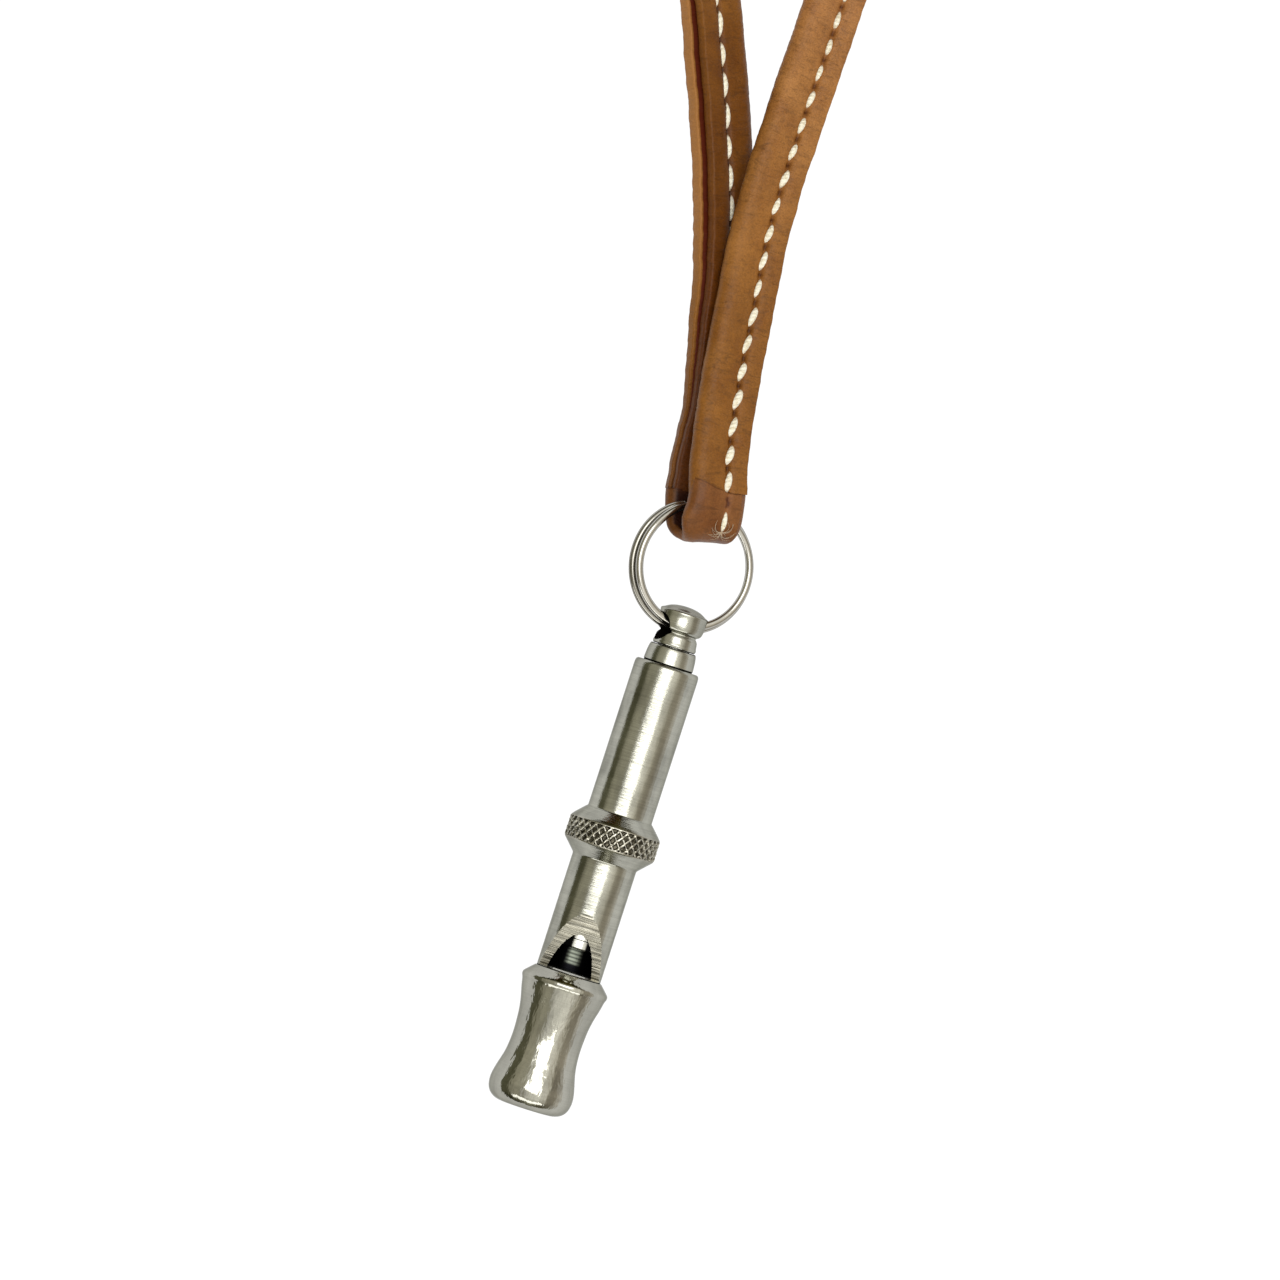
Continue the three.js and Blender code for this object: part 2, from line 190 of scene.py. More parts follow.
def coil_point(u):
    a = TURN0 + (TURN1 - TURN0) * u
    # the picture's right and up directions carry the angle
    d = RIGHT[:2] * math.cos(a) + UP[:2] * math.sin(a)
    wander = math.sin(math.pi * u) ** 0.5 if 0 < u < 1 else 0.0
    r = COIL_R + wander * (0.7 * math.sin(2.0 * a + 0.6 + 1.9 * u) + 0.4 * math.sin(5.1 * a))
    return [COIL_C[0] + d[0] * r, COIL_C[1] + d[1] * r, 2.7 + 3.7 * TURNS * u]


N_COIL = 70
route = catmull([rowmm(p) for p in FRONT + [coil_point(i / (N_COIL - 1)) for i in range(N_COIL)] + BACK[::-1]], 12)
ROUTE_LEN = length_of(route)
FRONT_LEN = length_of(route[:len(FRONT) * 12 + 1])
BACK_START = ROUTE_LEN - length_of(route[-((len(BACK) - 1) * 12 + 1):])


# --------------------------------------------------------------- materials
def nodes_of(mat):
    mat.use_nodes = True
    nt = mat.node_tree
    nt.nodes.clear()
    out = nt.nodes.new("ShaderNodeOutputMaterial")
    bsdf = nt.nodes.new("ShaderNodeBsdfPrincipled")
    nt.links.new(bsdf.outputs[0], out.inputs[0])
    return nt, bsdf


def add(nt, kind, **props):
    n = nt.nodes.new(kind)
    for k, v in props.items():
        if k.startswith("in_"):
            n.inputs[int(k[3:]) if k[3:].isdigit() else k[3:].replace("_", " ")].default_value = v
        else:
            setattr(n, k, v)
    return n


def ramp(nt, stops, source=None, interpolation="LINEAR"):
    r = nt.nodes.new("ShaderNodeValToRGB")
    r.color_ramp.interpolation = interpolation
    e = r.color_ramp.elements
    while len(e) < len(stops):
        e.new(0.5)
    for el, (p, c) in zip(e, stops):
        el.position = p
        el.color = (*c, 1.0) if isinstance(c, (tuple, list)) else (c, c, c, 1.0)
    if source is not None:
        nt.links.new(source, r.inputs[0])
    return r


def mixc(nt, a, b, fac, mode="MIX"):
    """A colour mix; each argument is a socket or a value."""
    m = nt.nodes.new("ShaderNodeMix")
    m.data_type = "RGBA"
    m.blend_type = mode
    for sock, v in ((m.inputs[0], fac), (m.inputs[6], a), (m.inputs[7], b)):
        if isinstance(v, bpy.types.NodeSocket):
            nt.links.new(v, sock)
        elif isinstance(v, (int, float)):
            sock.default_value = v
        else:
            sock.default_value = (*v, 1.0)
    return m.outputs[2]


def scaled_coords(nt, scale):
    tc = nt.nodes.new("ShaderNodeTexCoord")
    mp = nt.nodes.new("ShaderNodeMapping")
    mp.inputs["Scale"].default_value = scale
    nt.links.new(tc.outputs["Object"], mp.inputs[0])
    return mp.outputs[0]


def math_node(nt, op, a, b=None):
    m = nt.nodes.new("ShaderNodeMath")
    m.operation = op
    for i, v in enumerate((a, b)):
        if v is None:
            continue
        if isinstance(v, bpy.types.NodeSocket):
            nt.links.new(v, m.inputs[i])
        else:
            m.inputs[i].default_value = v
    return m.outputs[0]


def metal(name, colour, rough, tool=0.25, tool_pitch=5200.0, tone=0.10, rough_var=0.12, blotch=0.0, wave=0.0, grime_and_shade_colour=None, painted_light_band=None, lines=None):
    """Turned nickel: tool marks round the axis, soft tone changes, uneven gloss."""
    mat = bpy.data.materials.new(name)
    nt, p = nodes_of(mat)
    p.inputs["Metallic"].default_value = 1.0
    p.inputs["Specular Tint"].default_value = (0.50, 0.50, 0.48, 1.0)
    marks = add(nt, "ShaderNodeTexNoise", noise_dimensions="3D")
    marks.inputs["Scale"].default_value = 1.0
    marks.inputs["Detail"].default_value = 3.0
    marks.inputs["Roughness"].default_value = 0.7
    nt.links.new(scaled_coords(nt, (60, tool_pitch, 60)), marks.inputs["Vector"])
    soft = add(nt, "ShaderNodeTexNoise")
    soft.inputs["Scale"].default_value = 1.0
    soft.inputs["Detail"].default_value = 4.0
    nt.links.new(scaled_coords(nt, (420, 160, 420)), soft.inputs["Vector"])
    fine = add(nt, "ShaderNodeTexNoise")
    fine.inputs["Scale"].default_value = 2600.0
    fine.inputs["Detail"].default_value = 2.0
    tc = nt.nodes.new("ShaderNodeTexCoord")
    nt.links.new(tc.outputs["Object"], fine.inputs["Vector"])
    dark = tuple(c * (1 - 2.2 * tone) for c in colour)
    light = tuple(min(1.0, c * (1 + 0.6 * tone)) for c in colour)
    shade = ramp(nt, [(0.3, dark), (0.55, colour), (0.75, light)], soft.outputs["Fac"])
    streak = ramp(nt, [(0.3, 1 - 1.2 * tone), (0.6, 1.0)], marks.outputs["Fac"])
    base = mixc(nt, shade.outputs[0], streak.outputs[0], 1.0, "MULTIPLY")
    if lines is not None:                       # tooling lines left by the cutter
        base = mixc(nt, base, ramp(nt, [(0.40, lines), (0.50, 0.85), (0.58, 1.12)], marks.outputs["Fac"]).outputs[0], 1.0, "MULTIPLY")
    if grime_and_shade_colour is not None:                        # grime low in the knurl pattern; on the ring wire, painted shade down the outer turn's left side
        a = nt.nodes.new("ShaderNodeAttribute")
        a.attribute_name = "grime_and_shade"
        base = mixc(nt, base, grime_and_shade_colour, a.outputs["Fac"])
    if painted_light_band is not None:                    # painted highlight along a middle band, painted shade (near black) beside it
        x0, half, soft_w, y0, y1, painted_shade_c = painted_light_band
        xyz = nt.nodes.new("ShaderNodeSeparateXYZ")
        tco = nt.nodes.new("ShaderNodeTexCoord")
        nt.links.new(tco.outputs["Object"], xyz.inputs[0])
        off = math_node(nt, "ABSOLUTE", math_node(nt, "SUBTRACT", xyz.outputs[0], x0 * MM))
        m = nt.nodes.new("ShaderNodeMapRange")
        nt.links.new(off, m.inputs[0])
        m.inputs[1].default_value, m.inputs[2].default_value = (half + soft_w) * MM, (half - soft_w) * MM
        m2 = nt.nodes.new("ShaderNodeMapRange")
        nt.links.new(xyz.outputs[1], m2.inputs[0])
        m2.inputs[1].default_value, m2.inputs[2].default_value = y0 * MM, (y0 + 0.5) * MM
        m3 = nt.nodes.new("ShaderNodeMapRange")
        nt.links.new(xyz.outputs[1], m3.inputs[0])
        m3.inputs[1].default_value, m3.inputs[2].default_value = y1 * MM, (y1 - 0.3) * MM
        rib = math_node(nt, "MULTIPLY_ADD", math_node(nt, "SINE", math_node(nt, "MULTIPLY", xyz.outputs[1], 2 * math.pi / 0.00058)), 0.35)
        nt.nodes[-1].inputs[2].default_value = 0.62
        if y1 > y0 + 10:
            rib = 1.0
        painted_lit = math_node(nt, "MULTIPLY", math_node(nt, "MULTIPLY", m.outputs[0], m2.outputs[0]), math_node(nt, "MULTIPLY", m3.outputs[0], rib))
        base = mixc(nt, painted_shade_c, base, painted_lit)
    nt.links.new(base, p.inputs["Base Color"])
    rr = nt.nodes.new("ShaderNodeMapRange")
    nt.links.new(soft.outputs["Fac"], rr.inputs[0])
    rr.inputs[1].default_value, rr.inputs[2].default_value = 0.3, 0.7
    rr.inputs[3].default_value, rr.inputs[4].default_value = rough * (1 - rough_var), rough * (1 + 1.6 * rough_var)
    nt.links.new(rr.outputs[0], p.inputs["Roughness"])
    b1 = nt.nodes.new("ShaderNodeBump")
    b1.inputs["Strength"].default_value = tool
    b1.inputs["Distance"].default_value = 0.000045
    nt.links.new(marks.outputs["Fac"], b1.inputs["Height"])
    b2 = nt.nodes.new("ShaderNodeBump")
    b2.inputs["Strength"].default_value = 0.12 + blotch
    b2.inputs["Distance"].default_value = 0.00002
    nt.links.new(fine.outputs["Fac"], b2.inputs["Height"])
    nt.links.new(b1.outputs[0], b2.inputs["Normal"])
    last = b2
    if wave:                                    # hand polishing leaves the surface a little uneven
        wv = add(nt, "ShaderNodeTexNoise")
        wv.inputs["Scale"].default_value = 1.0
        wv.inputs["Detail"].default_value = 3.0
        wv.inputs["Roughness"].default_value = 0.55
        nt.links.new(scaled_coords(nt, (520, 210, 520)), wv.inputs["Vector"])
        b3 = nt.nodes.new("ShaderNodeBump")
        b3.inputs["Strength"].default_value = 1.0
        b3.inputs["Distance"].default_value = 0.0001 * wave
        nt.links.new(wv.outputs["Fac"], b3.inputs["Height"])
        nt.links.new(b2.outputs[0], b3.inputs["Normal"])
        last = b3
    nt.links.new(last.outputs[0], p.inputs["Normal"])
    return mat


NICKEL = (0.385, 0.383, 0.335)
m_barrel = metal("nickel_barrel", NICKEL, 0.10, tool=0.85, tool_pitch=3300, tone=0.13, rough_var=0.45, blotch=0.10, wave=0.34)
m_polish = metal("nickel_mouthpiece", (0.385, 0.380, 0.335), 0.085, tool=0.10, tone=0.07, rough_var=0.3, wave=1.5)
m_head = metal("nickel_head", (0.385, 0.383, 0.335), 0.15, tool=0.5, tone=0.10, wave=0.25)
m_dull = metal("nickel_inside", (0.30, 0.30, 0.27), 0.27, tool=0.5, tool_pitch=3000, tone=0.12)
m_knurl = metal("nickel_knurl", (0.40, 0.385, 0.33), 0.22, tool=0.06, tone=0.12, blotch=0.15, grime_and_shade_colour=(0.035, 0.030, 0.018))
m_cut = metal("nickel_milled", (0.36, 0.345, 0.29), 0.27, tool=0.6, tool_pitch=3600, tone=0.10, lines=0.50)
# the end face is a little darker than the head's sides: painted shade for the dark line along its top
m_dome = metal("nickel_end_face", (0.35, 0.34, 0.30), 0.18, tool=0.3, tone=0.15, wave=0.3)
# the ring's dark colour here is painted shade for the outer turn's left side
m_wire = metal("ring_wire_nickel", (0.45, 0.435, 0.40), 0.13, grime_and_shade_colour=(0.13, 0.122, 0.10), tool=0.0, tone=0.06, rough_var=0.3, blotch=-0.10, wave=0.12)
m_joint_shadow = metal("joint_shadow", (0.008, 0.007, 0.006), 0.7, tool=0.0, tone=0.02, blotch=-0.12)
m_plug = metal("windway_plug_nickel", (0.16, 0.16, 0.15), 0.32, tool=0.4, tool_pitch=3000, tone=0.12)
# bore: a painted highlight streak seen through the window, painted shade (near black) round it
m_bore = metal("bore_painted_shade", (0.20, 0.22, 0.18), 0.30, tool=0.5, tool_pitch=2600, tone=0.10, painted_light_band=(0.95 + 0.0, 0.98, 0.35, 22.3 - 47.445, 25.2 - 47.445, (0.004, 0.004, 0.005)))
# piston end: painted highlight along its middle, painted shade (near black) at its sides
m_piston = metal("piston_end", (0.42, 0.42, 0.39), 0.20, tool=0.2, tone=0.05, painted_light_band=(0.95 + 0.22, 1.02, 0.12, -90.0, 90.0, (0.004, 0.004, 0.005)))


def leather(name, light, mid, dark, shine=0.44, crease=0.9):
    """Smooth tan leather: grain, cross creases, cut edges, and painted shade in the groove, the stitch holes and shaded
    stretches.
    """
    mat = bpy.data.materials.new(name)
    nt, p = nodes_of(mat)

    def attr(key):
        a = nt.nodes.new("ShaderNodeAttribute")
        a.attribute_name = key
        return a.outputs["Fac"]

    tc = nt.nodes.new("ShaderNodeTexCoord")
    cloud = add(nt, "ShaderNodeTexNoise")
    cloud.inputs["Scale"].default_value = 190.0
    cloud.inputs["Detail"].default_value = 5.0
    cloud.inputs["Roughness"].default_value = 0.62
    nt.links.new(tc.outputs["Object"], cloud.inputs["Vector"])
    comb = nt.nodes.new("ShaderNodeCombineXYZ")
    nt.links.new(math_node(nt, "MULTIPLY", attr("along"), 1.05), comb.inputs[0])
    nt.links.new(math_node(nt, "MULTIPLY", attr("around"), 0.30), comb.inputs[1])
    creases = add(nt, "ShaderNodeTexNoise")
    creases.inputs["Scale"].default_value = 1.0
    creases.inputs["Detail"].default_value = 5.0
    creases.inputs["Roughness"].default_value = 0.6
    creases.inputs["Distortion"].default_value = 1.3
    nt.links.new(comb.outputs[0], creases.inputs["Vector"])
    comb2 = nt.nodes.new("ShaderNodeCombineXYZ")
    nt.links.new(math_node(nt, "MULTIPLY", attr("along"), 0.09), comb2.inputs[0])
    nt.links.new(math_node(nt, "MULTIPLY", attr("around"), 0.7), comb2.inputs[1])
    streaks = add(nt, "ShaderNodeTexNoise")
    streaks.inputs["Scale"].default_value = 1.0
    streaks.inputs["Detail"].default_value = 3.0
    nt.links.new(comb2.outputs[0], streaks.inputs["Vector"])
    grain = add(nt, "ShaderNodeTexVoronoi")
    grain.inputs["Scale"].default_value = 2600.0
    nt.links.new(tc.outputs["Object"], grain.inputs["Vector"])
    pores = add(nt, "ShaderNodeTexNoise")
    pores.inputs["Scale"].default_value = 3800.0
    pores.inputs["Detail"].default_value = 3.0
    nt.links.new(tc.outputs["Object"], pores.inputs["Vector"])

    base = ramp(nt, [(0.30, dark), (0.50, mid), (0.70, light)], cloud.outputs["Fac"]).outputs[0]
    base = mixc(nt, base, ramp(nt, [(0.35, 0.84), (0.6, 1.05)], streaks.outputs["Fac"]).outputs[0], 0.5, "MULTIPLY")
    base = mixc(nt, base, ramp(nt, [(0.36, 0.62), (0.47, 1.0)], creases.outputs["Fac"]).outputs[0], 0.62, "MULTIPLY")
    base = mixc(nt, base, ramp(nt, [(0.32, 0.78), (0.6, 1.05)], pores.outputs["Fac"]).outputs[0], 0.9, "MULTIPLY")
    edge_col = ramp(nt, [(0.3, tuple(0.80 * c for c in light)), (0.7, tuple(min(1, 1.0 * c) for c in light))], pores.outputs["Fac"]).outputs[0]
    base = mixc(nt, base, edge_col, attr("edge"))
    base = mixc(nt, base, (0.30, 0.115, 0.035), math_node(nt, "MULTIPLY", attr("seam"), 0.40))
    # painted shade in the groove between the flange's two leaves
    base = mixc(nt, base, (0.078, 0.010, 0.002), attr("groove_shade"))
    # painted shade in the stitch holes, on the loop's inner face and in the slit by its last stitch
    base = mixc(nt, base, (0.07, 0.018, 0.004), attr("hole"))
    # painted shade: darker and more saturated where the dark attribute is set
    base = mixc(nt, base, mixc(nt, base, (0.28, 0.18, 0.0), 1.0, "MULTIPLY"), attr("dark"))
    base = mixc(nt, base, mixc(nt, base, (1.02, 0.93, 0.1), 1.0, "MULTIPLY"), attr("dark"))
    nt.links.new(base, p.inputs["Base Color"])
    rr = nt.nodes.new("ShaderNodeMapRange")
    nt.links.new(cloud.outputs["Fac"], rr.inputs[0])
    rr.inputs[1].default_value, rr.inputs[2].default_value = 0.3, 0.7
    rr.inputs[3].default_value, rr.inputs[4].default_value = shine - 0.06, shine + 0.10
    nt.links.new(rr.outputs[0], p.inputs["Roughness"])
    p.inputs["Specular IOR Level"].default_value = 0.20
    b0 = nt.nodes.new("ShaderNodeBump")
    b0.inputs["Strength"].default_value = crease
    b0.inputs["Distance"].default_value = 0.00022
    nt.links.new(creases.outputs["Fac"], b0.inputs["Height"])
    b1 = nt.nodes.new("ShaderNodeBump")
    b1.inputs["Strength"].default_value = 0.16
    b1.inputs["Distance"].default_value = 0.00006
    nt.links.new(grain.outputs["Distance"], b1.inputs["Height"])
    nt.links.new(b0.outputs[0], b1.inputs["Normal"])
    b2 = nt.nodes.new("ShaderNodeBump")
    b2.inputs["Strength"].default_value = 0.42
    b2.inputs["Distance"].default_value = 0.00005
    nt.links.new(pores.outputs["Fac"], b2.inputs["Height"])
    nt.links.new(b1.outputs[0], b2.inputs["Normal"])
    nt.links.new(b2.outputs[0], p.inputs["Normal"])
    return mat


TAN_L, TAN_M, TAN_D = (0.37, 0.165, 0.052), (0.31, 0.132, 0.037), (0.245, 0.096, 0.024)
m_leather = leather("leather_strap", TAN_L, TAN_M, TAN_D)
m_tab = leather("leather_tab", (0.182, 0.069, 0.017), (0.157, 0.055, 0.012), (0.120, 0.038, 0.008), shine=0.42, crease=0.45)
m_keeper = leather("leather_keeper", (0.24, 0.085, 0.027), (0.19, 0.062, 0.018), (0.14, 0.042, 0.011), shine=0.42, crease=0.3)


def thread_material():
    mat = bpy.data.materials.new("waxed_thread")
    nt, p = nodes_of(mat)

    def attr(key):
        a = nt.nodes.new("ShaderNodeAttribute")
        a.attribute_name = key
        return a.outputs["Fac"]

    tc = nt.nodes.new("ShaderNodeTexCoord")
    n = add(nt, "ShaderNodeTexNoise")
    n.inputs["Scale"].default_value = 1800.0
    n.inputs["Detail"].default_value = 3.0
    nt.links.new(tc.outputs["Object"], n.inputs["Vector"])
    base = ramp(nt, [(0.32, (0.72, 0.65, 0.50)), (0.5, (0.90, 0.87, 0.77)), (0.7, (0.95, 0.94, 0.89))], n.outputs["Fac"]).outputs[0]
    fibre = math_node(nt, "SINE", math_node(nt, "MULTIPLY", attr("twist"), 12.566))
    ply = math_node(nt, "MULTIPLY_ADD", fibre, 0.5)
    nt.nodes[-1].inputs[2].default_value = 0.5
    base = mixc(nt, base, (0.60, 0.47, 0.30), math_node(nt, "MULTIPLY", ply, 0.20))
    base = mixc(nt, base, (0.34, 0.17, 0.06), math_node(nt, "POWER", attr("tip"), 2.0))
    base = mixc(nt, base, (0.86, 0.85, 0.80), 1.0, "MULTIPLY")
    nt.links.new(base, p.inputs["Base Color"])
    p.inputs["Roughness"].default_value = 0.62
    p.inputs["Sheen Weight"].default_value = 0.15
    bp = nt.nodes.new("ShaderNodeBump")
    bp.inputs["Strength"].default_value = 0.38
    bp.inputs["Distance"].default_value = 0.00012
    nt.links.new(fibre, bp.inputs["Height"])
    b2 = nt.nodes.new("ShaderNodeBump")
    b2.inputs["Strength"].default_value = 0.35
    b2.inputs["Distance"].default_value = 0.00006
    nt.links.new(n.outputs["Fac"], b2.inputs["Height"])
    nt.links.new(bp.outputs[0], b2.inputs["Normal"])
    nt.links.new(b2.outputs[0], p.inputs["Normal"])
    return mat


m_thread = thread_material()

# ------------------------------------------------------------------- strap
SEAM_W = 1.2            # the stitch line, right of the strap's middle
PITCH = 4.27            # one stitch to the next
ROLL_W, ROLL_A, ROLL_H = -2.45, 2.05, 1.85


def section(b):
    """The folded strap's outline: w right of travel, h up. b opens the flange's two leaves."""
    s = SEAM_W - 0.25 * b
    wu, wl = 4.45 + 0.15 * b, 4.40 + 0.95 * b
    g0, g1, hb = 0.20 - 0.22 * b, -0.12 - 0.62 * b, -1.55 - 1.15 * b
    P = []                                   # w, h, edge, groove (painted shade), side

    def top(w):
        h = ROLL_H - 0.42 * smoothstep(w, ROLL_W + 0.2, s - 0.1)
        h += 0.10 * math.exp(-((w - s - 1.5) / 0.8) ** 2)
        return float(h - 0.36 * math.exp(-((w - s) / 0.40) ** 2))

    def low(w):
        t = float(smoothstep(w, ROLL_W, s))
        h = -1.75 * (1 - t) + hb * t
        return float(h + 0.30 * math.exp(-((w - s) / 0.40) ** 2))

    for a in np.radians(np.linspace(176, 96, 9)):
        P.append((ROLL_W + ROLL_A * math.cos(a), ROLL_H * math.sin(a), 0, 0, 0))
    for w in list(np.linspace(ROLL_W, s - 1.0, 7)) + [s + d for d in (-0.7, -0.5, -0.34, -0.17, 0, 0.17, 0.34, 0.5, 0.75, 1.1, 1.6)] + list(np.linspace(s + 2.1, wu - 0.38, 3)):
        P.append((w, top(w), 0, 0, 1))
    ht = top(wu - 0.38)
    P += [(wu - 0.16, ht - 0.06, 0.25, 0, 2), (wu - 0.03, ht - 0.26, 0.7, 0, 2), (wu, ht - 0.5, 1, 0, 2), (wu, (ht + g0) / 2, 1, 0, 2), (wu - 0.02, g0 + 0.12, 0.85, 0.1, 2),
          (wu - 0.12, g0, 0.2, 0.8, 3), (wu - 0.55, (g0 * 2 + g1) / 3, 0, 1, 3), (wu - 1.1, (g0 + g1) / 2, 0, 1, 3), (wu - 0.60, (g0 + g1 * 2) / 3, 0, 1, 3),
          (wl - 0.58, g1, 0.0, 1.0, 3), (wl - 0.46, g1, 0.6, 0.2, 3), (wl - 0.14, g1, 0.9, 0.0, 3), (wl - 0.02, g1 - 0.10, 0.9, 0.0, 4), (wl, g1 - 0.35, 1, 0, 4), (wl, (g1 + hb) / 2, 1, 0, 4), (wl - 0.02, hb + 0.32, 1, 0, 4),
          (wl - 0.14, hb + 0.08, 0.6, 0, 4), (wl - 0.40, hb, 0.1, 0, 5)]
    for w in list(np.linspace(wl - 0.9, s + 0.9, 4)) + [s + d for d in (0.5, 0.25, 0, -0.25, -0.5, -0.9)] + list(np.linspace(s - 1.4, ROLL_W, 5)):
        P.append((w, low(w), 0, 0, 5))
    for a in np.radians(np.linspace(262, 190, 7)):
        P.append((ROLL_W + ROLL_A * math.cos(a), 1.75 * math.sin(a), 0, 0, 0))
    return np.array(P), s


SEC0, S0 = section(0.0)
SEC1, S1 = section(1.0)
NSEC = len(SEC0)


def strap_frame(points):
    """Tangent, right and up along the path."""
    T = np.gradient(points, axis=0)
    T /= np.linalg.norm(T, axis=1)[:, None]
    S = np.cross(T, [0.0, 0.0, 1.0])
    S /= np.linalg.norm(S, axis=1)[:, None]
    return T, S, np.cross(S, T)


def lean(s):
    """How far the strap is rolled about its length, degrees; its open edge up is negative."""
    s = np.asarray(s, float)
    front = np.interp(s, [0, 12, 60, 82, FRONT_LEN], [22.5, 21, 13, 8, 0])
    back = np.interp(s, [BACK_START + 6, BACK_START + 34, ROUTE_LEN - 52, ROUTE_LEN - 30, ROUTE_LEN - 6], [0, -44, -44, -38, -22.5])
    return np.radians(np.where(s < FRONT_LEN, front, np.where(s > BACK_START, back, 0.0)))


def openness(s):
    s = np.asarray(s, float)
    return np.interp(s, [BACK_START + 10, BACK_START + 36, ROUTE_LEN - 40, ROUTE_LEN - 8], [0.0, 1.0, 1.0, 0.45]) * (s > BACK_START)


BACK_PITCH = 4.62
front_stitches = np.arange(1.75, FRONT_LEN - 1.0, PITCH)
coil_stitches = np.arange(front_stitches[-1] + PITCH, BACK_START + 2.0, PITCH)
back_stitches = np.arange(coil_stitches[-1] + BACK_PITCH, ROUTE_LEN - 1.5, BACK_PITCH)
STITCHES = np.r_[front_stitches, coil_stitches, back_stitches]
HOLES = (STITCHES[1:] + STITCHES[:-1]) / 2

steps = np.r_[np.arange(0, FRONT_LEN, 0.45), np.arange(FRONT_LEN, BACK_START + 5, 1.2), np.arange(BACK_START + 5, ROUTE_LEN, 0.45), ROUTE_LEN]
P = resample(route, steps)
T, S, U = strap_frame(resample(route, steps))
phi = lean(steps)[:, None]
SW, UH = S * np.cos(phi) - U * np.sin(phi), U * np.cos(phi) + S * np.sin(phi)
open_ = openness(steps)
fine = np.where((steps < FRONT_LEN) | (steps > BACK_START + 5), 1.0, 0.0)
hole_d = np.min(np.abs(steps[:, None] - HOLES[None, :]), axis=1)
phase = np.interp(steps, STITCHES, np.arange(len(STITCHES)))
verts, attrs = [], {k: [] for k in ("along", "around", "edge", "groove_shade", "seam", "hole", "dark")}
girth = np.r_[0, np.cumsum(np.linalg.norm(np.diff(SEC0[:, :2], axis=0), axis=1))]
for i, s in enumerate(steps):
    b = float(open_[i])
    sec = SEC0 * (1 - b) + SEC1 * b
    sw = S0 * (1 - b) + S1 * b
    w, h = sec[:, 0].copy(), sec[:, 1].copy()
    side = sec[:, 4]
    outward_w = np.where(w < ROLL_W, (w - ROLL_W) / ROLL_A, 0.0)
    outward_h = np.sign(h) * np.sqrt(np.clip(1 - outward_w ** 2, 0, 1))
    # slow wander of the outline and small puckers at the stitches
    wob = 0.10 * noise1(s, 3.1, 23.0) + 0.05 * noise1(s, 7.7, 6.1)
    crump = 0.045 * noise1(s + 2.2 * np.sin(w), 11.3, 2.6) + 0.03 * noise1(s + 1.1 * w, 17.9, 1.3)
    roll_zone = smoothstep(-w, -sw + 0.4, -ROLL_W)
    w += outward_w * (wob + crump)
    h += outward_h * (wob * roll_zone + crump * (0.35 + 0.65 * roll_zone))
    edge_wander = 0.10 * noise1(s, 5.3, 13.0) + 0.06 * noise1(s, 9.1, 3.3)
    w += np.where(w > sw + 2.2, edge_wander * (w - sw - 2.2) / 1.1, 0.0)
    near = np.exp(-((sec[:, 0] - sw) / 0.34) ** 2) * (np.abs(h) > 0.5)
    at_hole = math.exp(-(hole_d[i] / 0.42) ** 2) * fine[i]
    pucker = 0.07 * math.cos(2 * math.pi * phase[i]) * fine[i]
    sgn = np.sign(h)
    h -= sgn * near * (0.42 * at_hole)
    h += sgn * np.exp(-((sec[:, 0] - sw) / 1.1) ** 2) * (np.abs(h) > 0.5) * pucker
    verts.append(P[i] + np.outer(w, SW[i]) + np.outer(h, UH[i]))
    attrs["along"].append(np.full(NSEC, s))
    attrs["around"].append(girth)
    attrs["edge"].append(np.clip(sec[:, 2], 0, 1) * (0.75 + 0.25 * b) * np.where((side == 2) & (s > BACK_START), 1 - 0.8 * b, 1.0))
    attrs["groove_shade"].append(np.clip(sec[:, 3], 0, 1))
    attrs["seam"].append(np.exp(-((sec[:, 0] - sw) / 0.55) ** 2) * (np.abs(sec[:, 1]) > 0.5))
    # painted shade in the stitch holes between stitches
    attrs["hole"].append(np.clip(1.15 * np.exp(-((sec[:, 0] - sw) / 0.30) ** 2) * (np.abs(sec[:, 1]) > 0.5) * (at_hole if fine[i] else 0.25), 0, 1))
    # painted shade along the strap: darker towards the tab on the front strand and over the back strand, which lies in
    # the front strand's shadow
    shade = float(np.interp(s, [0, 26, 48, 76, 90, BACK_START + 12, BACK_START + 40, ROUTE_LEN - 50, ROUTE_LEN - 30], [0.52, 0.49, 0.29, 0.0, 0.0, 0.0, 0.80, 0.84, 1.0]))
    attrs["dark"].append(shade * (1 - (0.80 if s > BACK_START else 0.0) * np.clip(sec[:, 2] * 1.2, 0, 1) * (side >= 3) * float(np.interp(s, [ROUTE_LEN - 45, ROUTE_LEN - 12], [1.0, 0.25]))) * (1 - np.clip(sec[:, 3], 0, 1)))
nrings = len(steps)
verts = np.concatenate(verts)
faces = grid_faces(nrings, NSEC)
for ring, flip in ((0, False), (nrings - 1, True)):
    c = len(verts)
    verts = np.vstack([verts, verts[ring * NSEC:(ring + 1) * NSEC].mean(0)])
    for k in attrs:
        attrs[k].append(np.array([0.0]))
    for j in range(NSEC):
        a_, b_ = ring * NSEC + j, ring * NSEC + (j + 1) % NSEC
        faces.append((a_, b_, c) if flip else (b_, a_, c))
strap = new_object("lanyard_strap", verts, faces, m_leather, attr={k: np.concatenate(v) for k, v in attrs.items()})
strap.data.set_sharp_from_angle(angle=math.radians(62))


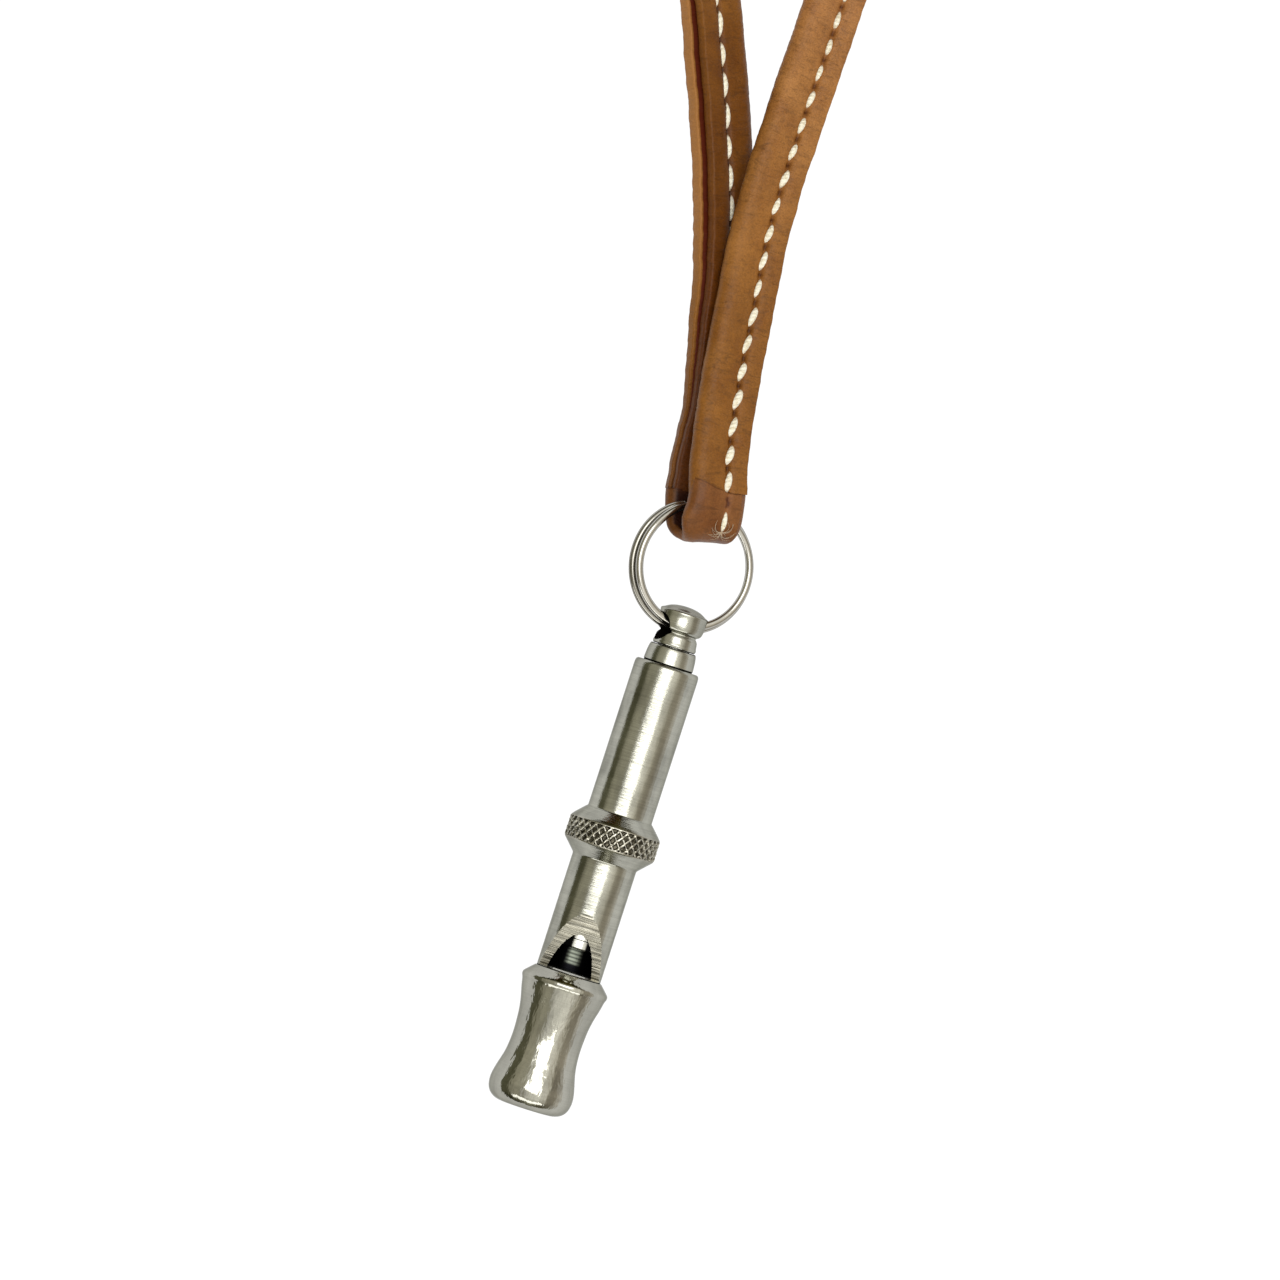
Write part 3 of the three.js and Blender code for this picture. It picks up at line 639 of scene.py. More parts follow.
def stitch(c, t, sw, uh, length, width, slant, seed):
    """One twisted stitch: points, faces, twist and tip values."""
    nu, nv = 10, 10
    V, tw, tp = [], [], []
    for i in range(nu):
        u = i / (nu - 1)
        lens = max(math.sin(math.pi * u), 0.0) ** 0.55
        rad = 0.5 * width * max(lens, 0.16)
        mid = c + t * length * (u - 0.5) + sw * slant * (u - 0.5) + uh * (0.34 * math.sin(math.pi * u) ** 0.7 - 0.22)
        for j in range(nv):
            th = 2 * math.pi * j / nv
            lobes = 1 + 0.10 * math.cos(2 * (th - 2.4 * u + seed))
            V.append(mid + (sw * math.cos(th) + uh * 0.72 * math.sin(th)) * rad * lobes)
            tw.append(2.6 * u + th / (2 * math.pi) + seed)
            tp.append(min(1.0, abs(2 * u - 1) ** 3))
    F = grid_faces(nu, nv) + [tuple(range(nv - 1, -1, -1)), tuple((nu - 1) * nv + j for j in range(nv))]
    return V, F, tw, tp


SV, SF, STW, STP = [], [], [], []


def put_stitch(*args):
    V, F, tw, tp = stitch(*args)
    o = len(SV)
    SV.extend(V)
    SF.extend(tuple(i + o for i in f) for f in F)
    STW.extend(tw)
    STP.extend(tp)


for k, s in enumerate(STITCHES):
    c = resample(route, [s])[0]
    a, b_ = resample(route, [max(s - 0.8, 0)])[0], resample(route, [min(s + 0.8, ROUTE_LEN)])[0]
    t = (b_ - a) / np.linalg.norm(b_ - a)
    r = np.cross(t, [0, 0, 1.0]); r /= np.linalg.norm(r)
    u = np.cross(r, t)
    f = float(lean(s))
    sw_, uh_ = r * math.cos(f) - u * math.sin(f), u * math.cos(f) + r * math.sin(f)
    bb = float(openness(s))
    off = SEAM_W - 0.25 * bb
    wide = float(np.interp(s, [10, 45, 70], [1.22, 1.02, 0.90])) if s < BACK_START else 0.86
    long_ = float(np.interp(s, [15, 45, 75], [3.4, 3.05, 2.7])) if s < BACK_START else 3.95
    skew = float(np.interp(s, [12, 35, 60, 78], [0.85, 0.70, 0.30, -0.15])) if s < BACK_START else 0.25
    j1, j2 = math.sin(k * 2.39996), math.sin(k * 4.1 + 1.0)
    top_h = ROLL_H - 0.42 - 0.36 + 0.12
    put_stitch(c + sw_ * (off + 0.06 * j1) + uh_ * (top_h + 0.04), t, sw_, uh_, long_ * (1 + 0.05 * j2), wide * (1 + 0.07 * j1), skew + 0.12 * j2, 0.37 * k)
    hb = -1.55 - 1.15 * bb
    put_stitch(c + sw_ * (off - 0.05 * j1) + uh_ * (hb + 0.26), t, -sw_, -uh_, long_ * (1 + 0.05 * j1), 1.0, -0.3, 0.61 * k)

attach(strap, "lanyard")
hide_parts("strap_front", "strap_back", "lanyard_coil")

# --------------------------------------------------------------------- tab
# A hairpin of leather round the ring, sewn to both strap ends.
HAIR = np.array([[2.30, 3.52], [1.2, 3.50], [0.0, 3.42], [-1.4, 3.28], [-2.6, 3.02], [-3.5, 2.55], [-4.15, 1.80], [-4.5, 0.95], [-4.6, 0.0]])
HAIR = np.vstack([HAIR, (HAIR[:-1] * [1, -1])[::-1]])
THICK = np.array([3.10, 3.05, 2.90, 2.65, 2.30, 1.95, 1.65, 1.50, 1.45])
THICK = np.r_[THICK, THICK[:-1][::-1]]
LEFTW = np.array([4.45, 4.55, 4.75, 5.05, 5.20, 5.0, 4.55, 4.0, 3.7])
LEFTW = np.r_[LEFTW, [4.1, 4.6, 4.95, 5.1, 5.2, 5.25, 5.3, 5.3]]
RIGHTW = np.array([4.45, 4.45, 4.45, 4.45, 4.42, 4.32, 4.18, 4.05, 3.85])
RIGHTW = np.r_[RIGHTW, RIGHTW[:-1][::-1]]
NU = 81
key = np.linspace(0, 1, len(HAIR))
uu = np.linspace(0, 1, NU)
line = catmull(np.c_[HAIR, np.zeros(len(HAIR))], 12)
line = resample(line, np.linspace(0, length_of(line), NU))[:, :2]
thick, lw, rw = np.interp(uu, key, THICK), np.interp(uu, key, LEFTW), np.interp(uu, key, RIGHTW)
tang = np.gradient(line, axis=0)
tang /= np.linalg.norm(tang, axis=1)[:, None]
norm = np.c_[-tang[:, 1], tang[:, 0]]        # which way is out of the hairpin is set below
if norm[0, 1] < 0:
    norm = -norm
TV, TA = [], {k: [] for k in ("along", "around", "edge", "groove_shade", "seam", "hole", "dark")}
tab_stitch_u = []
for i in range(NU):
    T2 = thick[i] / 2
    ws, os_, ed = [], [], []
    r = min(T2 * 0.92, 1.3)
    for a in np.radians(np.linspace(-86, 86, 9)):          # left rim, from inside to outside
        ws.append(-lw[i] + r - r * math.cos(a)); os_.append(T2 * math.sin(a)); ed.append(0.35 * math.cos(a) ** 2)
    for w in list(np.linspace(-lw[i] + r + 0.3, SEAM_W - 0.95, 8)) + [SEAM_W + d for d in (-0.7, -0.45, -0.22, 0, 0.22, 0.45, 0.7, 1.05, 1.5)] + list(np.linspace(SEAM_W + 1.9, rw[i] - r * 0.8, 3)):
        crown = 0.20 * math.exp(-((w + 2.2) / 1.6) ** 2) * (1 - abs(2 * uu[i] - 1)) ** 0.0
        dip = 0.30 * math.exp(-((w - SEAM_W) / 0.42) ** 2) * float(smoothstep(abs(2 * uu[i] - 1), 0.30, 0.55))
        wrinkle = 0.05 * noise1(w + 3 * uu[i], 4.4, 1.7) + 0.08 * math.exp(-((uu[i] - 0.15) / 0.05) ** 2) * noise1(w, 8.8, 3.3)
        ws.append(w); os_.append(T2 + crown - dip + wrinkle); ed.append(0.0)
    for a in np.radians(np.linspace(78, -86, 8)):          # right rim
        ws.append(rw[i] - r + r * math.cos(a)); os_.append(T2 * math.sin(a)); ed.append(0.55 * math.cos(a) ** 2)
    for w in np.linspace(rw[i] - r - 0.3, -lw[i] + r + 0.3, 10):
        ws.append(w); os_.append(-T2); ed.append(0.0)
    ws, os_, ed = np.array(ws), np.array(os_), np.array(ed)
    end = 1 - float(smoothstep(min(uu[i], 1 - uu[i]), 0.0, 0.10))
    slant = (np.where(ws < SEAM_W, 0.34 * (SEAM_W - ws), -0.02 * (ws - SEAM_W)) + 0.10 * np.array([noise1(w, 2.2, 4.0) for w in ws])) * end * (1.0 if uu[i] < 0.5 else 0.0)
    base2 = line[i] + np.outer(os_, norm[i]) + np.outer(slant, [1, 0])
    # only the outer edge's end lies over the strap
    TV.append(TAB_C + np.outer(ws, TAB_E1) + np.outer(base2[:, 0], TAB_E2) + np.outer(base2[:, 1], TAB_N))
    n_ = len(ws)
    TA["along"].append(np.full(n_, 40 + 18 * uu[i])); TA["around"].append(ws * 1.0)
    TA["edge"].append(ed * 0.7 + (0.0 if 0 < i < NU - 1 else 0.0)); TA["groove_shade"].append(np.zeros(n_))
    TA["seam"].append(np.exp(-((ws - SEAM_W) / 0.5) ** 2) * (os_ > 0) * float(smoothstep(abs(2 * uu[i] - 1), 0.2, 0.4)))
    s_here = 18 * min(uu[i], 1 - uu[i])
    # painted shade: the loop's inner face and a dark slit beside its last stitch
    TA["hole"].append(np.clip((os_ < 0.0) * (ws > 0.75 - lw[i]) * 0.95 * float(smoothstep(min(uu[i], 1 - uu[i]), 0.0, 0.06)) + 1.7 * np.exp(-((ws - SEAM_W - 0.12 * math.sin(5 * s_here)) / 0.27) ** 2) * (os_ > 0) * (math.exp(-((s_here - 1.35) / 0.80) ** 4) + 0.4 * math.exp(-((s_here - 6.0) / 0.5) ** 2)), 0, 1))
    inner = (os_ < 0.15) * 1.0
    # painted shade on the loop's inner face, its lower leg and its ends
    TA["dark"].append(np.clip(inner * (ws > 0.75 - lw[i]) * 0.9 + 0.36 * float(smoothstep(uu[i], 0.52, 0.62)) + 0.6 * (1.0 if i in (0, NU - 1) else 0.0), 0, 1))
NT = len(TV[0])
TV = np.concatenate(TV)
TF = grid_faces(NU, NT)
for ring, flip in ((0, False), (NU - 1, True)):
    c = len(TV)
    TV = np.vstack([TV, TV[ring * NT:(ring + 1) * NT].mean(0)])
    for k in TA:
        TA[k].append(np.array([1.0 if k == "dark" else 0.0]))
    for j in range(NT):
        a_, b_ = ring * NT + j, ring * NT + (j + 1) % NT
        TF.append((a_, b_, c) if flip else (b_, a_, c))
tab = new_object("ring_loop_leather", TV, TF, m_tab, attr={k: np.concatenate(v) for k, v in TA.items()})


def outward(o, sharp=None):
    bm = bmesh.new()
    bm.from_mesh(o.data)
    bmesh.ops.recalc_face_normals(bm, faces=bm.faces)
    if bm.calc_volume(signed=True) < 0:
        bmesh.ops.reverse_faces(bm, faces=bm.faces)
    bm.to_mesh(o.data)
    bm.free()
    if sharp is not None:
        o.data.set_sharp_from_angle(angle=math.radians(sharp))


outward(tab, 70)
outward(strap, 62)
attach(tab, "lanyard")
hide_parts("ring_tab")


def tab_point(u, w, lift):
    p = np.array([np.interp(u, uu, line[:, 0]), np.interp(u, uu, line[:, 1])])
    n_ = np.array([np.interp(u, uu, norm[:, 0]), np.interp(u, uu, norm[:, 1])])
    n_ /= np.linalg.norm(n_)
    t_ = np.array([n_[1], -n_[0]])
    q = p + n_ * (np.interp(u, uu, thick) / 2 + lift)
    return (TAB_C + TAB_E1 * w + TAB_E2 * q[0] + TAB_N * q[1], TAB_E2 * t_[0] + TAB_N * t_[1], TAB_E2 * n_[0] + TAB_N * n_[1])


for u, sgn in ((0.236, 1), (0.80, -1)):
    c, t, n_ = tab_point(u, SEAM_W - 0.02, -0.12)
    put_stitch(c, t, TAB_E1 * sgn, n_, 3.3, 0.78, 0.15, 0.2 + u)
stitches = new_object("seam_stitches", np.array(SV), SF, m_thread, attr={"twist": STW, "tip": STP})
outward(stitches)
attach(stitches, "lanyard")
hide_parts("seam_thread_front", "seam_thread_back")

# frayed ends where the seam finishes on the loop
FV, FF, FT = [], [], []


def fibre(points, radius, seed):
    pts = catmull(points, 4)
    t = np.gradient(pts, axis=0); t /= np.linalg.norm(t, axis=1)[:, None]
    a = np.cross(t, TAB_N); a /= np.linalg.norm(a, axis=1)[:, None]
    b_ = np.cross(a, t)
    o = len(FV)
    for i, p in enumerate(pts):
        rr = radius * (1 - 0.5 * i / len(pts))
        for j in range(5):
            th = 2 * math.pi * j / 5
            FV.append(p + a[i] * rr * math.cos(th) + b_[i] * rr * math.sin(th))
            FT.append(seed + j / 5)
    FF.extend(grid_faces(len(pts), 5, offset=o))
    FF.append(tuple(o + j for j in range(4, -1, -1)))
    FF.append(tuple(o + (len(pts) - 1) * 5 + j for j in range(5)))


for k in range(22):
    ang = math.radians(-172 + 164 * k / 21 + 20 * math.sin(5.7 * k))
    L_ = 0.75 + 1.15 * abs(math.sin(2.1 * k + 0.7))
    knots = []
    for m in range(6):
        u_ = m / 5
        turn = (1.1 * math.sin(1.9 * k) + (0.45 if math.cos(ang) > 0 else -0.45)) * u_ ** 1.4
        dx = math.cos(ang + turn) * L_ * u_
        dy = math.sin(ang + turn) * L_ * u_
        c, t, n_ = tab_point(min(max(0.312 - dy / 19.0, 0.20), 0.47), SEAM_W - 0.15 + dx * 1.2 + 0.12 * math.sin(3.3 * k), 0.03 + 0.28 * math.sin(math.pi * min(u_ * 0.8, 1)) * (0.6 + 0.4 * math.sin(k)))
        knots.append(c)
    fibre(knots, 0.036, 0.3 * k)
fray = new_object("frayed_thread_ends", np.array(FV), FF, m_thread, attr={"twist": FT, "tip": np.full(len(FV), 0.80)})
outward(fray)
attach(fray, "lanyard")

# ------------------------------------------------------------------ keeper
KA = math.radians(90)
kd = RIGHT * math.cos(KA) + UP * math.sin(KA)
kt = np.cross([0, 0, 1.0], kd)
kc = np.array([COIL_C[0], COIL_C[1], 0.0]) + SHIFT + kd * COIL_R
rad_o, zl, zh = 5.55, 0.45, 14.35
loop = []
rc = 2.2
for (cx, cz, a0) in ((rad_o - rc, zh - rc, 0), (-rad_o + rc, zh - rc, 90), (-rad_o + rc, zl + rc, 180), (rad_o - rc, zl + rc, 270)):
    for a in np.radians(np.linspace(a0, a0 + 90, 9)):
        loop.append((cx + rc * math.cos(a), cz + rc * math.sin(a), math.cos(a), math.sin(a)))
dense = []
for i in range(len(loop)):
    p, q = np.array(loop[i]), np.array(loop[(i + 1) % len(loop)])
    n_ = max(1, int(np.hypot(*(q - p)[:2]) / 0.6))
    for j in range(n_):
        dense.append(p + (q - p) * j / n_)
dense = np.array(dense)
sect = [(-3.5, -0.15), (-3.42, 0.28), (-3.1, 0.42)] + [(w, 0.42 + 0.05 * math.cos(w)) for w in np.linspace(-2.7, 2.7, 13)] + [(3.1, 0.42), (3.42, 0.28), (3.5, -0.15), (3.3, -0.40)] + [(w, -0.42) for w in np.linspace(2.8, -2.8, 6)] + [(-3.3, -0.40)]
KV, KAt = [], {k: [] for k in ("along", "around", "edge", "groove_shade", "seam", "hole", "dark")}
acc = 0.0
for i, (x, z, nx, nz) in enumerate(dense):
    acc += 0.6
    lap = 0.45 if 4.2 < x < 6 and 5.0 < z < 9.5 else 0.0
    for (w, h) in sect:
        hh = h + 0.05 * noise1(acc, 3.0, 5.0) + (lap * (h > 0))
        KV.append(kc + kt * (w + 0.10 * noise1(acc, 6.0, 7.0)) + kd * (x + nx * hh) + np.array([0, 0, 1.0]) * (z + nz * hh))
        KAt["along"].append(acc); KAt["around"].append(w)
        KAt["edge"].append(1.0 if abs(w) > 3.35 else 0.0)
        KAt["seam"].append(float(math.exp(-((abs(w) - 2.75) / 0.2) ** 2) * 0.8 * (h > 0)))
        # the band's underside is darker: painted shade
        KAt["groove_shade"].append(0.0); KAt["hole"].append(0.0); KAt["dark"].append(0.25 if h < 0 else 0.0)
nk = len(sect)
KF = []
for i in range(len(dense)):
    for j in range(nk):
        a_, b_ = i * nk + j, i * nk + (j + 1) % nk
        c_, d_ = ((i + 1) % len(dense)) * nk + (j + 1) % nk, ((i + 1) % len(dense)) * nk + j
        KF.append((a_, b_, c_, d_))
keeper = new_object("coil_keeper_band", np.array(KV), KF, m_keeper, attr=KAt)
outward(keeper, 60)
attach(keeper, "lanyard")
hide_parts("coil_keeper")

# -------------------------------------------------------------- split ring
WIRE, RING_R = 0.60, 9.30
n_ring = 520
tt = np.linspace(0, 1, n_ring)
ang = np.radians(97) + tt * 4 * math.pi
step_over = smoothstep(tt * 2, 0.88, 1.12)
noff = -0.65 + 1.30 * step_over
turn_r = RING_R + 0.27 - 0.54 * step_over
ring_pts = RING_C + np.outer(turn_r * np.cos(ang), RING_E1) + np.outer(turn_r * np.sin(ang), RING_E2) + np.outer(noff, RING_N)
tan_ = np.gradient(ring_pts, axis=0)
tan_ /= np.linalg.norm(tan_, axis=1)[:, None]
ra = np.cross(tan_, RING_N); ra /= np.linalg.norm(ra, axis=1)[:, None]
rb = np.cross(ra, tan_)
NW = 20
RV = []
for i in range(n_ring):
    for j in range(NW):
        th = 2 * math.pi * j / NW
        # the turns are pressed together, so each is a little flat where they meet
        flat = 0.93 if abs(math.sin(th)) > 0.97 else 1.0
        RV.append(ring_pts[i] + (ra[i] * math.cos(th) + rb[i] * math.sin(th) * flat) * WIRE)
RF = grid_faces(n_ring, NW)
for ring, sgn in ((0, -1), (n_ring - 1, 1)):
    o = len(RV)
    for f_, d_ in ((0.86, 0.10), (0.55, 0.17)):
        for j in range(NW):
            RV.append(ring_pts[ring] + (RV[ring * NW + j] - ring_pts[ring]) * f_ + tan_[ring] * sgn * d_)
    RV.append(ring_pts[ring] + tan_[ring] * sgn * 0.19)
    for j in range(NW):
        k = (j + 1) % NW
        RF.append((ring * NW + j, ring * NW + k, o + k, o + j))
        RF.append((o + j, o + k, o + NW + k, o + NW + j))
        RF.append((o + NW + j, o + NW + k, o + 2 * NW))
# painted shade: the outer turn's left side of the ring is darker
ring_painted_shade = np.r_[np.repeat(0.62 * np.exp(-((np.degrees(ang) - 183) / 46) ** 2), NW), np.zeros(len(RV) - n_ring * NW)]
ring_o = new_object("split_ring_wire", np.array(RV), RF, m_wire, attr={"grime_and_shade": ring_painted_shade})
outward(ring_o)
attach(ring_o, "split_ring")
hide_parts("split_ring")


# ------------------------------------------------------------ turned metal
def lathe(name, profile, cols, material, shape=None, sharp=28):
    """profile is a closed loop of (radius, y in drawing millimetres); shape(theta, r, y) may change a radius."""
    prof = np.array(profile, float)
    th = np.linspace(0, 2 * math.pi, cols, endpoint=False) + math.pi / cols
    V = []
    poles = {}
    rows = []
    for i, (r, y) in enumerate(prof):
        if r < 1e-6:
            poles[i] = len(V)
            V.append([AX[0], y + SHIFT[1], AXIS_Z])
            rows.append([poles[i]] * cols)
            continue
        rr = np.full(cols, r) if shape is None else shape(th, r, y)
        rows.append(list(range(len(V), len(V) + cols)))
        V.extend(np.c_[AX[0] + rr * np.cos(th), np.full(cols, y + SHIFT[1]), AXIS_Z + rr * np.sin(th)].tolist())
    F = []
    n_ = len(prof)
    both_poles = 0 in poles and (n_ - 1) in poles
    for i in range(n_ - 1 if both_poles else n_):
        a, b_ = rows[i], rows[(i + 1) % n_]
        for j in range(cols):
            k = (j + 1) % cols
            quad = [a[j], a[k], b_[k], b_[j]]
            quad = [v for m, v in enumerate(quad) if v not in quad[:m]]
            if len(quad) >= 3:
                F.append(tuple(quad))
    o = new_object(name, np.array(V), F, material)
    outward(o, sharp)
    return o


def spline(points, per=5):
    """A smooth run through profile points."""
    p = catmull([[a, b_, 0] for a, b_ in points], per)
    return [tuple(v[:2]) for v in p]


def cut(o, cutter, sharp=28, material=None):
    if material is not None and len(o.data.materials) < 2:
        o.data.materials.append(material)
        cutter.data.materials.clear()
        cutter.data.materials.append(o.data.materials[0])
        cutter.data.materials.append(material)
        cutter.data.polygons.foreach_set("material_index", [1] * len(cutter.data.polygons))
    m = o.modifiers.new("cut", "BOOLEAN")
    m.operation = "DIFFERENCE"
    m.solver = "EXACT"
    m.object = cutter
    bpy.context.view_layer.update()
    mesh = bpy.data.meshes.new_from_object(o.evaluated_get(bpy.context.evaluated_depsgraph_get()))
    o.modifiers.clear()
    old = o.data
    o.data = mesh
    bpy.data.meshes.remove(old)
    bpy.data.objects.remove(cutter)
    o.data.polygons.foreach_set("use_smooth", [True] * len(o.data.polygons))
    o.data.set_sharp_from_angle(angle=math.radians(sharp))


# barrel: a plain tube, shoulders and a diamond-knurled collar
K0, K1 = 40.98, 44.02
upper = [(5.0, 47.2), (5.0, 46.5), (5.005, 46.32), (5.03, 46.22), (5.09, 46.14), (5.17, 46.08), (5.24, 46.02), (5.60, 45.66), (5.97, 45.28), (6.33, 44.91)] + spline([(6.55, 44.68), (6.74, 44.46), (6.87, 44.28), (6.95, 44.16)], 3)
lower = spline([(6.95, 40.84), (6.87, 40.72), (6.74, 40.56), (6.55, 40.36)], 3) + [(6.20, 40.01), (5.85, 39.65), (5.50, 39.29), (5.25, 39.03), (5.15, 38.93), (5.07, 38.83), (5.02, 38.70), (5.0, 38.52), (5.0, 38.0)]
knurl_rows = [(7.05, y) for y in np.linspace(44.10, 40.90, 65)]
turn_rows = lambda a, b_, n_: [(5.0, y) for y in np.linspace(a, b_, n_)]
barrel_prof = ([(3.90, 69.45), (4.00, 69.6), (4.55, 69.6), (4.72, 69.55), (4.88, 69.38), (4.97, 69.1)] + turn_rows(68.6, 49.0, 14) + upper + knurl_rows + lower
               + turn_rows(37.0, 21.5, 66) + [(5.0, 21.22), (4.96, 21.10), (4.86, 21.05), (4.45, 21.05), (4.45, 17.0), (4.25, 16.8), (3.98, 16.8), (3.90, 16.9)]
               + [(3.90, y) for y in np.linspace(20, 64, 12)])


def ridge(a):
    """Height of the diamond ridges, 0 in a pit to 1 on a ridge; a is theta and y in millimetres."""
    theta, y = a
    u = 34 * theta / (2 * math.pi)
    best = np.zeros(np.shape(theta))
    for ph, half in ((u + 0.60 * (y - 42.5) + 0.25, 0.165), (u - 0.62 * (y - 42.5), 0.125)):
        d_ = np.abs(ph - np.round(ph))
        best = np.maximum(best, 1 - smoothstep(d_, half * 0.55, half * 1.75))
    return best


def knurl(theta, r, y):
    rr = np.full(len(theta), r)
    if r > 7.0:
        env = float(smoothstep(y, 40.90, 41.10) * (1 - smoothstep(y, 43.90, 44.10)))
        best = ridge((theta, y))
        rough = 0.025 * np.sin(61 * theta + 9 * y) * np.sin(23 * theta - 5 * y)
        worn = 0.80 + 0.20 * np.sin(17 * theta + 2.6 * y) * np.sin(41 * theta - 3.1 * y + 1.0)
        rr = r - 0.10 * (1 - env) + env * (-0.34 + 0.37 * best * worn + rough)
    elif abs(r - 5.0) < 1e-6:
        rr = rr + 0.004 * np.sin(3.7 * y + 1.0)
    return rr


barrel = lathe("whistle_barrel", barrel_prof, 540, m_barrel, shape=knurl, sharp=34)
# knurl faces get the rougher plate
grime_and_shade = []
for v in barrel.data.vertices:
    x_, y_, z_ = v.co.x * 1000 - AX[0], v.co.y * 1000 - SHIFT[1], v.co.z * 1000 - AXIS_Z
    inside = math.hypot(x_, z_) > 6.4 and 40.92 < y_ < 44.08
    grime_and_shade.append(float(1 - ridge((np.array(math.atan2(z_, x_)), y_))) * 0.92 if inside else 0.0)
barrel.data.attributes.new("grime_and_shade", "FLOAT", "POINT").data.foreach_set("value", grime_and_shade)
barrel.data.materials.append(m_knurl)
mi = []
for poly in barrel.data.polygons:
    c = poly.center
    y_ = c[1] * 1000 - SHIFT[1]
    r_ = math.hypot(c[0] * 1000 - AX[0], c[2] * 1000 - AXIS_Z)
    # index 3 is the bore with its painted highlight and shade; index 4, the barrel's lower end, is near-black painted
    # shadow
    mi.append(1 if r_ > 6.55 and K0 - 0.25 < y_ < K1 + 0.25 else (3 if r_ < 4.25 and 21.0 < y_ < 66 else (4 if y_ < 21.23 else 0)))
barrel.data.polygons.foreach_set("material_index", mi)
# window: a milled slope down into the bore, square at its lower end
slope = (5.0 - 1.8) / (30.4 - 21.25)
wy = np.linspace(21.25, 31.2, 160)
wz = AXIS_Z + 1.8 + slope * (wy - 21.25) - 0.030 * np.abs(np.sin(math.pi * (wy - 21.25) / 0.37 + 0.8 * np.sin(1.9 * wy))) ** 0.7 - 0.016 * np.sin(7.1 * wy) - 0.012 * np.sin(14.3 * wy + 1)
CV, CF = [], []
for x in (-7.0, 7.0):
    for y, z in zip(wy, wz):
        CV.append([AX[0] + x, y + SHIFT[1], z])
    CV.append([AX[0] + x, wy[-1] + SHIFT[1], AXIS_Z + 9]); CV.append([AX[0] + x, wy[0] + SHIFT[1], AXIS_Z + 9])
n_ = len(wy) + 2
for j in range(n_):
    k = (j + 1) % n_
    CF.append((j, k, n_ + k, n_ + j))
CF.append(tuple(range(n_ - 1, -1, -1))); CF.append(tuple(range(n_, 2 * n_)))
cutter = new_object("cutter", np.array(CV), CF)
outward(cutter)
mats = [m_barrel, m_knurl, m_cut]
for m_ in (m_cut, m_bore, m_joint_shadow):
    barrel.data.materials.append(m_)
cutter.data.materials.append(m_barrel); cutter.data.materials.append(m_knurl); cutter.data.materials.append(m_cut)
cutter.data.materials.append(m_bore); cutter.data.materials.append(m_joint_shadow)
cutter.data.polygons.foreach_set("material_index", [2] * len(cutter.data.polygons))
cut(barrel, cutter, sharp=34)
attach(barrel, "whistle_body")
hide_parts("barrel")

# mouthpiece
mp = ([(5.02, 20.90), (5.06, 21.04), (5.16, 21.08), (5.40, 20.87), (5.80, 20.48), (6.20, 20.08), (6.46, 19.82), (6.57, 19.68)] + spline([(6.62, 19.60), (6.67, 19.45), (6.68, 19.25), (6.64, 19.02), (6.54, 18.78), (6.45, 18.5), (6.36, 18.1), (6.24, 17.5), (6.07, 16.8), (5.86, 16.0), (5.64, 15.0), (5.47, 13.9), (5.35, 12.5), (5.28, 11.0), (5.30, 9.6), (5.42, 8.2), (5.60, 7.1), (5.85, 6.1), (6.12, 5.1), (6.36, 4.1), (6.49, 3.2), (6.47, 2.4), (6.30, 1.6), (5.93, 0.9), (5.35, 0.38), (4.75, 0.10), (4.35, 0.0)], 5)
      + [(4.02, 0.0), (3.93, 0.04), (3.90, 0.12), (3.90, 16.5), (4.50, 16.5), (4.50, 20.80), (4.60, 20.84)])
mouth = lathe("whistle_mouthpiece", mp, 192, m_polish, sharp=32)
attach(mouth, "whistle_body")
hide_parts("mouthpiece")

# windway plug: a D-shaped plug that leaves the air slit over it
a0 = math.asin(2.90 / 3.84)
arc = np.linspace(math.pi - a0, 2 * math.pi + a0, 73)
flat = np.linspace(3.84 * math.cos(a0), -3.84 * math.cos(a0), 15)[1:-1]
dsec = [(3.84 * math.cos(a), 3.84 * math.sin(a)) for a in arc] + [(x, 2.90) for x in flat]
PV = []
for y, k in ((0.0, 0.955), (0.06, 0.985), (0.2, 1.0), (6, 1.0), (12, 1.0), (18, 1.0), (21.30, 1.0), (21.42, 0.985), (21.48, 0.955)):
    for (x, z) in dsec:
        PV.append([AX[0] + x * k, y + SHIFT[1], AXIS_Z + z * k])
PF = grid_faces(9, len(dsec)) + [tuple(range(len(dsec) - 1, -1, -1)), tuple(8 * len(dsec) + j for j in range(len(dsec)))]
plug = new_object("windway_plug_turned", np.array(PV), PF, m_plug)
outward(plug, 30)
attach(plug, "whistle_body")
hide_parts("windway_plug")

# end bush
bush = lathe("tuning_bush", [(2.72, 64.6), (3.55, 64.6), (3.65, 64.7), (3.85, 64.9), (3.85, 69.35), (3.78, 69.45), (3.78, 69.78), (3.86, 69.84), (3.85, 70.1), (3.81, 70.75), (3.76, 71.3), (3.68, 71.8), (3.62, 72.08), (3.54, 72.28), (3.42, 72.4),
                             (2.78, 72.4), (2.64, 72.34), (2.56, 72.2), (2.56, 64.8), (2.62, 64.66)], 160, m_head, sharp=30)
bush.data.materials.append(m_joint_shadow)
# the narrow groove over the barrel's end and the face under the head are near-black painted shadow
bush.data.polygons.foreach_set("material_index", [1 if 69.36 < q.center[1] * 1000 - SHIFT[1] < 69.84 or q.center[1] * 1000 - SHIFT[1] > 72.30 else 0 for q in bush.data.polygons])
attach(bush, "whistle_body")
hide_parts("end_bush")

